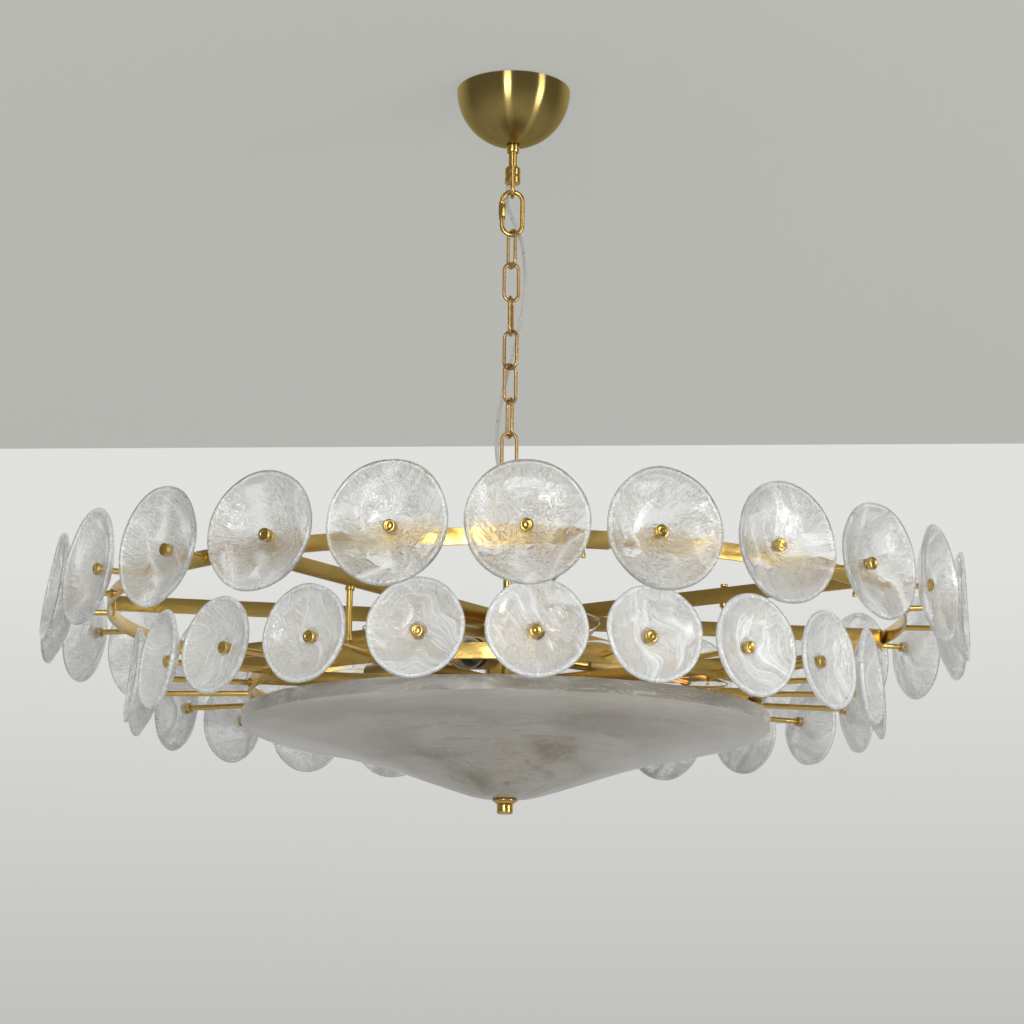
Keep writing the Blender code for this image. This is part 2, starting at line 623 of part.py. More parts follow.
def make_dish(cloud, brass):
    sides = 30
    outer = [(DISH_RADIUS, DISH_TOP), (DISH_RADIUS, DISH_LIP_BOTTOM)]
    outer += [(DISH_RADIUS * out, DISH_LIP_BOTTOM - DISH_DEPTH * down) for out, down in DISH_OUTLINE_SHARES]
    outer += [(DISH_FLAT_RADIUS, DISH_BOTTOM), (DISH_HOLE_RADIUS, DISH_BOTTOM)]
    inside = [(DISH_HOLE_RADIUS, DISH_BOTTOM + DISH_WALL), (DISH_FLAT_RADIUS, DISH_BOTTOM + DISH_WALL)]
    shares = DISH_OUTLINE_SHARES[::-1][1::2]
    inside += [(DISH_RADIUS * out, DISH_LIP_BOTTOM - DISH_DEPTH * down + DISH_WALL) for out, down in shares]
    inner_lip = DISH_RADIUS - DISH_WALL
    inside += [(inner_lip, DISH_LIP_BOTTOM + DISH_WALL / 2), (inner_lip, DISH_TOP)]
    rings = [(radius, height, sides) for radius, height in outer + inside]
    turned("glass_dish", rings, [cloud], closed=True)

    hole = DISH_ROD_RADIUS + SEAT_GAP
    wide = hole / cos(pi / 12)
    rings = [(wide, SEAT_TOP, 12), (SEAT_RADIUS, SEAT_TOP, 12)]
    rings += [(SEAT_RADIUS, SEAT_TOP - SEAT_HEIGHT, 12), (wide, SEAT_TOP - SEAT_HEIGHT, 12)]
    turned("dish_seat", rings, [brass], closed=True)

    floor = FINIAL_TOP - FINIAL_HEIGHT + FINIAL_FLOOR
    rings = [
        (wide, floor, 12),
        (wide, FINIAL_TOP, 12),
        (FINIAL_RADIUS, FINIAL_TOP, 12),
        (FINIAL_RADIUS, FINIAL_TOP - FINIAL_HEIGHT, 12),
    ]
    turned("finial", rings, [brass])
    ends = (LAMP_HUB_BOTTOM - SEAT_GAP, FINIAL_TOP - THREAD_IN_FINIAL)
    turned("dish_rod", [(DISH_ROD_RADIUS, height, 12) for height in ends], [brass])


def smooth_route(points, step):
    """Points about step apart on a smooth curve through the route's own points."""
    route = [points[0], *points, points[-1]]
    made = []
    for a, b, c, d in zip(route, route[1:], route[2:], route[3:]):
        pieces = max(1, round((c - b).length / step))
        for i in range(pieces):
            t = i / pieces
            even = 2 * b + (c - a) * t
            bend = (2 * a - 5 * b + 4 * c - d) * t**2 + (3 * b - a - 3 * c + d) * t**3
            made.append((even + bend) / 2)
    made.append(points[-1])
    return made


def make_cord(plastic):
    """The cord leaves one loop's collar, winds once round the chain and ends on the other loop's collar."""
    top = CEILING_LOOP_FACE - SEAT_GAP
    bottom = FIXTURE_LOOP_FACE + SEAT_GAP
    reach = LINK_WIDTH / 2 + CORD_RADIUS + CORD_CLEARANCE
    exit_reach = LOOP_COLLAR_RADIUS - CORD_RADIUS - SEAT_GAP
    first_turn = CORD_ROUTE_SHARES[0][2] * tau
    last_turn = LINK_FIRST_TURN + LINK_COUNT * LINK_TWIST + pi / 2
    route = [(top, exit_reach, first_turn)]
    drop = top - bottom
    route += [(top - drop * down, reach * out, turn * tau) for down, out, turn in CORD_ROUTE_SHARES]
    route += [(bottom + 2 * CORD_RADIUS, exit_reach, last_turn), (bottom, exit_reach, last_turn)]
    points = [Vector((out * cos(turn), out * sin(turn), height)) for height, out, turn in route]
    curve = bpy.data.curves.new("supply_cord", "CURVE")
    curve.dimensions = "3D"
    curve.bevel_depth = CORD_RADIUS
    curve.bevel_resolution = 1
    curve.use_fill_caps = True
    points = smooth_route(points, CORD_STEP)
    spline = curve.splines.new("POLY")
    spline.points.add(len(points) - 1)
    for at, point in zip(spline.points, points):
        at.co = (*point, 1.0)
    curve.materials.append(plastic)
    obj = bpy.data.objects.new("supply_cord", curve)
    bpy.context.scene.collection.objects.link(obj)


def main():
    clear_scene()
    brass = material("brass", (0.60, 0.43, 0.15), 0.28, 1.0)
    satin = material("satin_brass", (0.52, 0.40, 0.17), 0.38, 1.0)
    chain_brass = material("chain_brass", (0.55, 0.36, 0.15), 0.32, 1.0)
    steel = material("zinc_steel", (0.62, 0.62, 0.60), 0.4, 1.0)
    clear = material("clear_glass", (0.95, 0.96, 0.95), 0.05, 0.0, 0.9)
    cloud = material("cloud_glass", (0.78, 0.76, 0.72), 0.15, 0.0, 0.35)
    bulb_glass = material("bulb_glass", (0.97, 0.96, 0.93), 0.02, 0.0, 0.95)
    plastic = material("clear_plastic", (0.85, 0.85, 0.82), 0.2, 0.0, 0.7)

    make_ceiling_pieces(steel, brass)
    make_canopy(satin)
    turn = CEILING_LOOP_TURN
    make_loop("ceiling_loop", CEILING_LOOP_CENTRE, turn, CEILING_LOOP_FACE, STEM_BOTTOM - SEAT_GAP, brass)
    make_quick_link(brass)
    make_chain(chain_brass)
    turn = LINK_FIRST_TURN + LINK_COUNT * LINK_TWIST
    make_loop("fixture_loop", FIXTURE_LOOP_CENTRE, turn, FIXTURE_LOOP_FACE, FIXTURE_COLLAR_BOTTOM, brass)
    make_frame(brass)
    make_upper_tier(brass, clear)
    make_lower_tier(brass, clear)
    make_lamps(brass, bulb_glass)
    make_dish(cloud, brass)
    make_cord(plastic)
    bpy.context.view_layer.update()


main()
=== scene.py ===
"""Glass disc chandelier: the looks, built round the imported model.

Metres, +Z up. The origin is the middle of the ceiling bracket's upper face, and -Y is the front.
An azimuth of 0 faces -Y and grows towards +X. It is run as a script.
"""

import json
from math import asin, cos, pi, radians, sin, tau
from random import Random

import bmesh
import bpy
from bpy.props import FloatProperty, FloatVectorProperty, PointerProperty
from mathutils import Matrix, Vector, noise


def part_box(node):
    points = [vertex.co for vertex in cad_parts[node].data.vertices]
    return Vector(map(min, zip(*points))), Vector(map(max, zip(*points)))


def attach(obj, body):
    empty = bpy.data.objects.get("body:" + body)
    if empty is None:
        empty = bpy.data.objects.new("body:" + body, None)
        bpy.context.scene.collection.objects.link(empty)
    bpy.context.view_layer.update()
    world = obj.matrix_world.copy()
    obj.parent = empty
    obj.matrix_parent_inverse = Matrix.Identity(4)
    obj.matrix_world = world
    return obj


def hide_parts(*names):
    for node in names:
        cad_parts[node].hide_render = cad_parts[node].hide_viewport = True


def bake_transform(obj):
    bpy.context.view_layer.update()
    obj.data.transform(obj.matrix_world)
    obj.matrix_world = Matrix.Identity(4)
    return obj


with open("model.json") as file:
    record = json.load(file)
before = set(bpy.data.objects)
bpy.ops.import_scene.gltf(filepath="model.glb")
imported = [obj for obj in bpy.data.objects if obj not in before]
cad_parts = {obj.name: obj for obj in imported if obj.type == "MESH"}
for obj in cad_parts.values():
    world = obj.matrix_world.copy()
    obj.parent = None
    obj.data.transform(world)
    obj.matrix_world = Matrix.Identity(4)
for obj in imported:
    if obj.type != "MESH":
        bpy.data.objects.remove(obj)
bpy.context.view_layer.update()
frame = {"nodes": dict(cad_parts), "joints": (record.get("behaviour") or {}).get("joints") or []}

bl_info = {
    "name": "Glass Disc Chandelier",
    "version": (1, 0, 0),
    "blender": (4, 5, 0),
    "location": "3D View > Sidebar > Chandelier",
    "description": "Builds the brass, the glass and the light round the packed chandelier",
    "category": "Object",
}


def corners(node):
    low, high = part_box(node)
    return Vector(low), Vector(high)


def low_of(node):
    return corners(node)[0].z


def high_of(node):
    return corners(node)[1].z


def length_property(name, description, default):
    return FloatProperty(
        name=name, description=description, default=default, subtype="DISTANCE", unit="LENGTH"
    )


def colour_property(name, description, default):
    return FloatVectorProperty(
        name=name, description=description, default=default, size=3, min=0, max=1, subtype="COLOR"
    )


def angle_property(name, description, default):
    return FloatProperty(
        name=name, description=description, default=default, subtype="ANGLE", unit="ROTATION"
    )


def power_property(name, description, default):
    return FloatProperty(name=name, description=description, default=default, unit="POWER")


def share_property(name, description, default):
    return FloatProperty(name=name, description=description, default=default, min=0, subtype="FACTOR")


# Places that more than one piece uses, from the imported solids
GAP = 0.0003  # between pieces that touch on the real fixture
UPPER_COUNT = 24
LOWER_COUNT = 22
UPPER_FIRST = radians(1.3)
LOWER_FIRST = radians(3.3)
SPOKE_COUNT = 8
SPOKE_TURN = radians(9)
BAND_HEIGHT = high_of("upper_spokes") - low_of("upper_spokes")
BAND_THICKNESS = 0.003
UPPER_Z = (high_of("upper_spokes") + low_of("upper_spokes")) / 2
LOWER_SPOKE_Z = (high_of("lower_spokes") + low_of("lower_spokes")) / 2
LOWER_Z = LOWER_SPOKE_Z - 0.008
UPPER_RING = 0.422291
LOWER_RING = 0.272056
UPPER_BACK_FACE = 0.463886
LOWER_BACK_FACE = 0.377056
LINK_COUNT = 7
LINK_FIRST_TURN = radians(-62)
LINK_TWIST = radians(70)
LINK_BODIES = [f"link_{i + 1}" for i in range(LINK_COUNT)]


class StageSettings(bpy.types.PropertyGroup):
    wall_high: colour_property("Wall, high", "Wall colour under the ceiling", (0.75, 0.75, 0.73))
    wall_low: colour_property("Wall, low", "Wall colour at eye level", (0.53, 0.53, 0.52))
    ceiling: colour_property("Ceiling", "Ceiling paint", (0.26, 0.26, 0.255))
    ceiling_glow: colour_property("Ceiling glow", "Light of the room on the ceiling", (0.335, 0.34, 0.32))
    floor: colour_property("Floor", "Floor colour", (0.72, 0.71, 0.69))
    room: colour_property("Room behind", "Seen in metal from behind the camera", (0.21, 0.20, 0.175))
    ambient: share_property("Ambient light", "Light from all sides on matt surfaces", 0.52)
    window_power: power_property("Window", "Power of the window light", 33)
    side_power: power_property("Side", "Power of the side light", 20)
    wall_distance: length_property("Wall distance", "From the chandelier's axis to the wall", 1.615)
    floor_depth: length_property("Floor depth", "From the ceiling to the floor", 2.4)


class MetalSettings(bpy.types.PropertyGroup):
    brass: colour_property("Brass", "Polished brass of bands, rods and caps", (0.69, 0.48, 0.145))
    tarnish: colour_property("Tarnish", "Brass where it has darkened", (0.44, 0.31, 0.10))
    satin: colour_property("Satin brass", "Brushed brass of the canopy", (0.37, 0.285, 0.105))
    chain: colour_property("Chain brass", "Slightly coppery brass of the links", (0.66, 0.43, 0.19))
    sleeve: colour_property("Lamp sleeves", "Dark bronze gold of the lamp sleeves", (0.42, 0.30, 0.13))
    steel: colour_property("Steel", "Zinc plated bracket and nuts", (0.62, 0.62, 0.60))


class HangingSettings(bpy.types.PropertyGroup):
    canopy_wall: length_property("Canopy wall", "Thickness of the canopy's metal", 0.0012)
    loop_radius: length_property("Loop radius", "Middle of the wire of both loops", 0.0075)
    loop_wire: length_property("Loop wire", "Radius of the loops' wire", 0.0025)
    quick_wire: length_property("Quick link wire", "Radius of the quick link's wire", 0.00275)
    link_wire: length_property("Link wire", "Radius of the chain's wire", 0.002)
    cord_radius: length_property("Cord radius", "Radius of the supply cord", 0.00225)
    cord_colour: colour_property("Cord", "Clear plastic over tinned wire", (0.88, 0.87, 0.84))


class TierSettings(bpy.types.PropertyGroup):
    rod_radius: length_property("Rod radius", "Rods that carry the discs", 0.003)
    collar_radius: length_property("Collar radius", "Collar behind each disc", 0.0056)
    cap_radius: length_property("Cap radius", "Button cap before each disc", 0.0062)
    cap_height: length_property("Cap height", "How far a cap stands out", 0.0046)


class GlassSettings(bpy.types.PropertyGroup):
    upper_radius: length_property("Upper disc radius", "Outer radius of an upper disc", 0.057)
    upper_depth: length_property("Upper disc depth", "How far the rim stands out", 0.0175)
    lower_radius: length_property("Lower disc radius", "Outer radius of a lower disc", 0.048)
    lower_depth: length_property("Lower disc depth", "How far the rim stands out", 0.0165)
    thickness: length_property("Glass thickness", "Thickness of the discs", 0.005)
    unevenness: share_property("Unevenness", "How far a hand made outline strays, of the radius", 0.010)
    lean: angle_property("Lean", "How far a disc's lower edge stands out", radians(4.2))
    upper_colour: colour_property("Upper glass", "Clear glass with a soft haze", (0.96, 0.965, 0.96))
    lower_colour: colour_property("Lower glass", "Milkier glass", (0.95, 0.955, 0.95))


class LampSettings(bpy.types.PropertyGroup):
    sleeve_radius: length_property("Sleeve radius", "Radius of a lamp sleeve", 0.0165)
    sleeve_length: length_property("Sleeve length", "Length of a lamp sleeve", 0.062)
    bulb_radius: length_property("Bulb radius", "Widest radius of a bulb", 0.0172)
    bulb_length: length_property("Bulb length", "From the sleeve to the bulb's tip", 0.086)
    slope: angle_property("Slope", "How far the lower lamps slope down", radians(9))
    filament: colour_property("Filament", "Colour of the warm wire", (1.0, 0.42, 0.10))


class DishSettings(bpy.types.PropertyGroup):
    wall: length_property("Wall", "Thickness of the dish", 0.006)
    lip: length_property("Lip height", "Upright rim of the dish", 0.015)
    colour: colour_property("Glass", "Cloudy glass", (0.62, 0.605, 0.565))
    smudge: colour_property("Smudges", "Brown grey clouds in the glass", (0.32, 0.29, 0.23))
    lip_colour: colour_property("Lip glass", "Darker rim", (0.60, 0.59, 0.57))


SETTINGS = {
    "chandelier_stage": StageSettings,
    "chandelier_metal": MetalSettings,
    "chandelier_hanging": HangingSettings,
    "chandelier_tiers": TierSettings,
    "chandelier_glass": GlassSettings,
    "chandelier_lamps": LampSettings,
    "chandelier_dish": DishSettings,
}


# Mesh code
def add_object(name, data):
    obj = bpy.data.objects.new(name, data)
    bpy.context.scene.collection.objects.link(obj)
    return obj


class Shape:
    """Points and faces of a piece, gathered before they become one mesh."""

    def __init__(self):
        self.points = []
        self.faces = []
        self.slots = []
        self.uvs = []

    def grid(self, rows, loop=False, slot=0):
        """Faces between rows of points, each row a closed ring. Loop joins the last row to the first."""
        count = len(rows[0])
        first = len(self.points)
        for row in rows:
            self.points.extend(row)
        along = [0.0]
        for before, after in zip(rows, rows[1:] + rows[:1]):
            along.append(along[-1] + (Vector(after[0]) - Vector(before[0])).length)
        last = len(rows) if loop else len(rows) - 1
        for i in range(last):
            here = first + i * count
            there = first + (i + 1) % len(rows) * count
            for j in range(count):
                k = (j + 1) % count
                self.faces.append((here + j, here + k, there + k, there + j))
                u, v = j / count, (j + 1) / count
                self.uvs.append(((u, along[i]), (v, along[i]), (v, along[i + 1]), (u, along[i + 1])))
                self.slots.append(slot)
        if not loop:
            for start in (first, first + (len(rows) - 1) * count):
                self.faces.append(tuple(range(start, start + count)))
                turns = (tau * j / count for j in range(count))
                self.uvs.append(tuple((0.5 + 0.002 * cos(t), 0.002 * sin(t)) for t in turns))
                self.slots.append(slot)

    def lathe(self, profile, sides, matrix=Matrix.Identity(4), loop=False):
        """A profile of (radius, height) points turned round local Z."""
        turns = [tau * j / sides for j in range(sides)]
        rows = [[matrix @ Vector((r * cos(t), r * sin(t), z)) for t in turns] for r, z in profile]
        self.grid(rows, loop=loop)

    def sweep(self, path, section, up=None, loop=False):
        """A section of (side, up) points carried along a path. Without up the section doesn't twist."""
        rows = []
        count = len(path)
        side = None
        for i, point in enumerate(path):
            before = path[i - 1] if loop or i else point
            after = path[(i + 1) % count] if loop or i < count - 1 else point
            along = (after - before).normalized()
            if up is not None:
                over = up
                side = along.cross(over).normalized()
            else:
                side = along.orthogonal().normalized() if side is None else side - along * side.dot(along)
                side.normalize()
                over = side.cross(along)
            rows.append([point + side * x + over * y for x, y in section])
        self.grid(rows, loop=loop)

    def piece(self, name, materials, body=None, smooth_below=radians(38)):
        """The gathered shape as one object, which moves with the body if one is given."""
        mesh = bpy.data.meshes.new(name)
        mesh.from_pydata([tuple(point) for point in self.points], [], self.faces)
        layer = mesh.uv_layers.new(name="UVMap")
        flat = [value for face in self.uvs for pair in face for value in pair]
        layer.data.foreach_set("uv", flat)
        mesh.polygons.foreach_set("material_index", self.slots)
        bm = bmesh.new()
        bm.from_mesh(mesh)
        bmesh.ops.recalc_face_normals(bm, faces=bm.faces)
        bm.to_mesh(mesh)
        bm.free()
        for item in materials:
            mesh.materials.append(item)
        mesh.shade_smooth()
        mesh.set_sharp_from_angle(angle=smooth_below)
        obj = add_object(name, mesh)
        if body:
            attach(obj, body)
        return obj


def circle(radius, sides):
    turns = (tau * i / sides for i in range(sides))
    return [(radius * cos(t), radius * sin(t)) for t in turns]


def eased(profile, radius, loop=False, steps=3):
    """The same outline with its corners rounded."""
    made = []
    count = len(profile)
    for i, corner in enumerate(profile):
        if not loop and i in (0, count - 1):
            made.append(tuple(corner))
            continue
        here = Vector(corner)
        before = Vector(profile[i - 1]) - here
        after = Vector(profile[(i + 1) % count]) - here
        first = here + before.normalized() * min(radius, before.length * 0.45)
        second = here + after.normalized() * min(radius, after.length * 0.45)
        for k in range(steps + 1):
            t = k / steps
            made.append(tuple(first * (1 - t) ** 2 + here * 2 * t * (1 - t) + second * t**2))
    return made


def smooth(points, pieces):
    """A smooth curve through points, with so many pieces from each to the next."""
    points = [Vector(p) for p in points]
    route = [points[0], *points, points[-1]]
    made = []
    for a, b, c, d in zip(route, route[1:], route[2:], route[3:]):
        for i in range(pieces):
            t = i / pieces
            bend = (2 * a - 5 * b + 4 * c - d) * t**2 + (3 * b - a - 3 * c + d) * t**3
            made.append((2 * b + (c - a) * t + bend) / 2)
    made.append(points[-1])
    return made


def outward(azimuth, height=0.0, slope=0.0, start=0.0):
    """The matrix that turns local +Z to point out from the axis at an azimuth, sloping down by slope."""
    turn = Matrix.Rotation(azimuth, 4, "Z") @ Matrix.Rotation(pi / 2 + slope, 4, "X")
    return Matrix.Translation((0, 0, height)) @ turn @ Matrix.Translation((0, 0, start))


def around(count, first):
    return [first + tau * i / count for i in range(count)]


def tube_profile(inner, outer, low, high, ease):
    return eased([(inner, low), (outer, low), (outer, high), (inner, high)], ease, loop=True)


def rod_profile(radius, low, high, ease):
    outline = eased([(GAP, low), (radius, low), (radius, high), (GAP, high)], ease)
    return [(GAP, low), *outline[1:-1], (GAP, high)]


def scaled(shares, radius, low, height):
    """A profile from shares of a radius and of a height."""
    return [(radius * out, low + height * up) for out, up in shares]


def wire_path(length, width, turn, middle):
    """Centre line of a link in the upright plane at turn: two legs and two round ends."""
    steps = 20
    radius = width / 2
    straight = length / 2 - radius
    flat = []
    for end, start in ((1, 0.0), (-1, pi)):
        for i in range(steps + 1):
            angle = start + pi * i / steps
            flat.append((radius * cos(angle), middle + end * straight + radius * sin(angle)))
    return upright(flat, turn)


def upright(flat, turn):
    """Points of (side, height) in the upright plane at turn."""
    return [Vector((x * cos(turn), x * sin(turn), z)) for x, z in flat]


def plane_normal(turn):
    return Vector((-sin(turn), cos(turn), 0))


# Shader code
def put(tree, socket, value):
    """Links a socket to another one, or sets its own value. A colour gets its alpha."""
    if isinstance(value, bpy.types.NodeSocket):
        tree.links.new(value, socket)
    else:
        socket.default_value = (*value, 1) if socket.type == "RGBA" else value


def fill(tree, node, values):
    for name, value in values.items():
        put(tree, node.inputs[name], value)


def add_node(tree, kind, inputs=None, **attributes):
    """The outputs of a new node, with its attributes set and its inputs set or linked."""
    made = tree.nodes.new("ShaderNode" + kind)
    for name, value in attributes.items():
        setattr(made, name, value)
    fill(tree, made, inputs or {})
    return made.outputs


def group_of(name, inputs, outputs):
    """A new node group, the sockets of its input node and its output node."""
    tree = bpy.data.node_groups.new(name, "ShaderNodeTree")
    for label, default in inputs.items():
        kind = "NodeSocketColor" if isinstance(default, tuple) else "NodeSocketFloat"
        socket = tree.interface.new_socket(label, in_out="INPUT", socket_type=kind)
        socket.default_value = (*default, 1) if isinstance(default, tuple) else default
    for label in outputs:
        kind = "NodeSocketColor" if label == "Colour" else "NodeSocketFloat"
        tree.interface.new_socket(label, in_out="OUTPUT", socket_type=kind)
    return tree, tree.nodes.new("NodeGroupInput").outputs, tree.nodes.new("NodeGroupOutput")


def placed(tree, group, **values):
    return add_node(tree, "Group", values, node_tree=GROUPS[group])


def ramp(tree, stops, source):
    made = tree.nodes.new("ShaderNodeValToRGB")
    elements = made.color_ramp.elements
    while len(elements) < len(stops):
        elements.new(0.5)
    for element, (position, value) in zip(elements, stops):
        element.position = position
        element.color = (value, value, value, 1) if isinstance(value, float) else (*value, 1)
    tree.links.new(source, made.inputs["Fac"])
    return made.outputs["Color"]


def rise(tree, low, high, source):
    """0 below low, 1 above high and even between them."""
    return ramp(tree, ((low, 0.0), (high, 1.0)), source)


def maths(tree, operation, *values):
    return add_node(tree, "Math", dict(enumerate(values)), operation=operation)["Value"]


def times(tree, first, second):
    return maths(tree, "MULTIPLY", first, second)


def times_add(tree, first, second, added):
    return maths(tree, "MULTIPLY_ADD", first, second, added)


def mix_colour(tree, factor, first, second):
    """A colour mix. Each value is a socket, or a number or colour for the socket itself."""
    return add_node(tree, "Mix", {0: factor, 6: first, 7: second}, data_type="RGBA")[2]


def noise_of(tree, vector, scale, detail=3.0, rough=0.5, distortion=0.0):
    inputs = {"Vector": vector, "Scale": scale, "Detail": detail}
    inputs.update(Roughness=rough, Distortion=distortion)
    return add_node(tree, "TexNoise", inputs)["Fac"]


def stretched(tree, vector, scale):
    return add_node(tree, "Mapping", {"Vector": vector, "Scale": scale})["Vector"]


def bump(tree, height, strength, distance):
    inputs = {"Height": height, "Strength": strength, "Distance": distance}
    return add_node(tree, "Bump", inputs)["Normal"]


def uv_of(tree):
    return add_node(tree, "UVMap")["UV"]


def between(tree, share, given):
    """A roughness from a group's Smooth at a share of 0 to its Rough at 1."""
    spread = maths(tree, "SUBTRACT", given["Rough"], given["Smooth"])
    return times_add(tree, share, spread, given["Smooth"])


def make_patina_group():
    """Brass that has darkened in clouds, with small stains and fine scratches."""
    inputs = {"Colour": (0.7, 0.5, 0.2), "Tarnish": (0.4, 0.3, 0.1), "Amount": 0.5, "Scale": 60.0}
    inputs.update(Smooth=0.2, Rough=0.4)
    tree, given, end = group_of("patina", inputs, ("Colour", "Roughness", "Height"))
    place = add_node(tree, "TexCoord")["Object"]
    spot = add_node(tree, "VectorMath", {0: place, "Scale": given["Scale"]}, operation="SCALE")["Vector"]
    clouds = rise(tree, 0.35, 0.72, noise_of(tree, spot, 1.0, 5.0, 0.6, 0.4))
    stains = rise(tree, 0.60, 0.70, noise_of(tree, spot, 5.5, 2.0))
    scratches = noise_of(tree, stretched(tree, spot, (2.0, 2.0, 40.0)), 3.0, 2.0)
    dirty = times_add(tree, stains, 0.4, clouds)
    share = times(tree, dirty, given["Amount"])
    worn = times_add(tree, scratches, 0.5, times(tree, dirty, 0.5))
    fill(tree, end, {
        "Colour": mix_colour(tree, share, given["Colour"], given["Tarnish"]),
        "Roughness": between(tree, worn, given),
        "Height": times_add(tree, stains, -0.5, scratches),
    })
    return tree


def make_spun_group():
    """Fine rings left by a lathe and a brush, across the length that the UV's second value measures."""
    inputs = {"Fineness": 3000.0, "Smooth": 0.3, "Rough": 0.5}
    tree, given, end = group_of("spun metal", inputs, ("Roughness", "Height", "Streak"))
    parts = add_node(tree, "SeparateXYZ", {"Vector": uv_of(tree)})
    across = {"X": times(tree, parts["X"], 6.0), "Y": times(tree, parts["Y"], given["Fineness"])}
    lines = noise_of(tree, add_node(tree, "CombineXYZ", across)["Vector"], 1.0, 3.0, 0.7)
    fill(tree, end, {
        "Roughness": between(tree, lines, given),
        "Height": lines,
        "Streak": rise(tree, 0.3, 0.7, lines),
    })
    return tree


def make_glass_group():
    """Hand worked glass: hammered patches of fine dents between smooth wavy parts."""
    inputs = {"Dents": 0.14, "Waves": 0.3, "Smooth": 0.03, "Rough": 0.2}
    tree, given, end = group_of("hand worked glass", inputs, ("Roughness", "Height", "Shade"))
    uv = uv_of(tree)
    hammered = ramp(tree, ((0.40, 0.12), (0.54, 1.0)), noise_of(tree, uv, 1.9, 3.0, 0.5, 0.5))
    dents = noise_of(tree, uv, 24.0, 3.0, 0.6, 0.6)
    waves = noise_of(tree, uv, 2.2, 1.0, 0.4, 0.4)
    # Shade marks the pits of the hammered patches, which get painted shade in the glass's colour
    pits = ramp(tree, ((0.36, 1.0), (0.44, 0.0)), dents)
    fine = times(tree, times(tree, dents, hammered), given["Dents"])
    fill(tree, end, {
        "Shade": times(tree, pits, hammered),
        "Height": times_add(tree, waves, given["Waves"], fine),
        "Roughness": between(tree, hammered, given),
    })
    return tree


def make_milk_group():
    """White swirls drawn through the glass: broad curved strokes, each of many fine lines."""
    inputs = {"Density": 0.6, "Haze": 0.05, "Cover": 0.5, "Frost": 0.1}
    tree, given, end = group_of("milk swirls", inputs, ("Mask",))
    uv = uv_of(tree)
    wander = add_node(tree, "TexNoise", {"Vector": uv, "Scale": 0.62, "Detail": 1.5})["Color"]
    moved = {0: wander, 1: (2.7, 2.7, 0.0), 2: uv}
    flow = add_node(tree, "VectorMath", moved, operation="MULTIPLY_ADD")["Vector"]
    fine = noise_of(tree, stretched(tree, flow, (1.2, 22.0, 1.0)), 1.0, 3.0, 0.6)
    lines = rise(tree, 0.42, 0.68, fine)
    broad = noise_of(tree, stretched(tree, flow, (0.7, 2.6, 1.0)), 1.0, 2.0, 0.5)
    low = maths(tree, "SUBTRACT", 1.0, given["Cover"])
    patch = times(tree, maths(tree, "SUBTRACT", broad, low), 7.0)
    patch = maths(tree, "MINIMUM", maths(tree, "MAXIMUM", patch, 0.0), 1.0)
    strokes = times(tree, patch, times_add(tree, lines, 0.72, 0.28))
    mask = times_add(tree, strokes, given["Density"], given["Haze"])
    # Painted glints: patches of fine white speckles that make the milk whiter
    speckles = rise(tree, 0.50, 0.62, noise_of(tree, uv, 34.0, 2.0, 0.6))
    zones = rise(tree, 0.42, 0.58, noise_of(tree, uv, 2.1, 2.0, 0.5))
    painted_glints = times(tree, times(tree, speckles, zones), given["Frost"])
    fill(tree, end, {"Mask": maths(tree, "ADD", mask, painted_glints)})
    return tree


def new_material(name, slot, **values):
    """A Principled material. Constant values are set on the shader's own sockets."""
    material = bpy.data.materials.new(name)
    material.use_nodes = True
    material["slot"] = slot
    tree = material.node_tree
    shader = tree.nodes["Principled BSDF"]
    fill(tree, shader, {label.replace("_", " "): value for label, value in values.items()})
    return material, tree, shader


def patina_metal(name, slot, colour, tarnish, amount, scale, polish, dull):
    material, tree, shader = new_material(name, slot, Metallic=1.0)
    patina = placed(tree, "patina", Colour=colour, Tarnish=tarnish, Amount=amount, Scale=scale,
                    Smooth=polish, Rough=dull)
    fill(tree, shader, {
        "Base Color": patina["Colour"],
        "Roughness": patina["Roughness"],
        "Normal": bump(tree, patina["Height"], 0.12, 0.0003),
    })
    return material


def spun_metal(name, slot, colour, tarnish, fineness, polish, dull, **values):
    """Turned metal with brushed rings, a little darker where the brush went deeper."""
    material, tree, shader = new_material(name, slot, Metallic=1.0, **values)
    spun = placed(tree, "spun", Fineness=fineness, Smooth=polish, Rough=dull)
    patina = placed(tree, "patina", Colour=colour, Tarnish=tarnish, Amount=0.35, Scale=22.0)
    fill(tree, shader, {
        "Base Color": mix_colour(tree, times(tree, spun["Streak"], 0.25), patina["Colour"], tarnish),
        "Roughness": spun["Roughness"],
        "Normal": bump(tree, spun["Height"], 0.05, 0.0001),
    })
    return material


def worked_glass(name, clear, through, dents, waves, dull, painted_shade_specks):
    """Clear glass with dents and waves, and painted shade: grey specks in the pits of its hammered patches.
    """
    look = {"Transmission_Weight": through, "IOR": 1.58, "Specular_IOR_Level": 1.0}
    material, tree, shader = new_material(name, "clear_glass", **look)
    glass = placed(tree, "glass", Dents=dents, Waves=waves, Smooth=0.0, Rough=dull)
    # Painted shade: the pits of the hammered patches are mixed towards dark grey
    shade = times(tree, glass["Shade"], painted_shade_specks)
    fill(tree, shader, {
        "Base Color": mix_colour(tree, shade, clear, (0.20, 0.20, 0.19)),
        "Roughness": glass["Roughness"],
        "Normal": bump(tree, glass["Height"], 0.6, 0.0032),
    })
    return material


def milk_material(name, white, density, haze, cover, glint_share):
    """White matt milk that is only there where the swirls run, with fine white speckles that are painted
    glints.
    """
    colour = (white * 0.97, white, white * 1.02)
    material, tree, shader = new_material(name, "clear_glass", Roughness=0.6, Base_Color=colour)
    milk = placed(tree, "milk", Density=density, Haze=haze, Cover=cover, Frost=glint_share)
    tree.links.new(milk["Mask"], shader.inputs["Alpha"])
    return material


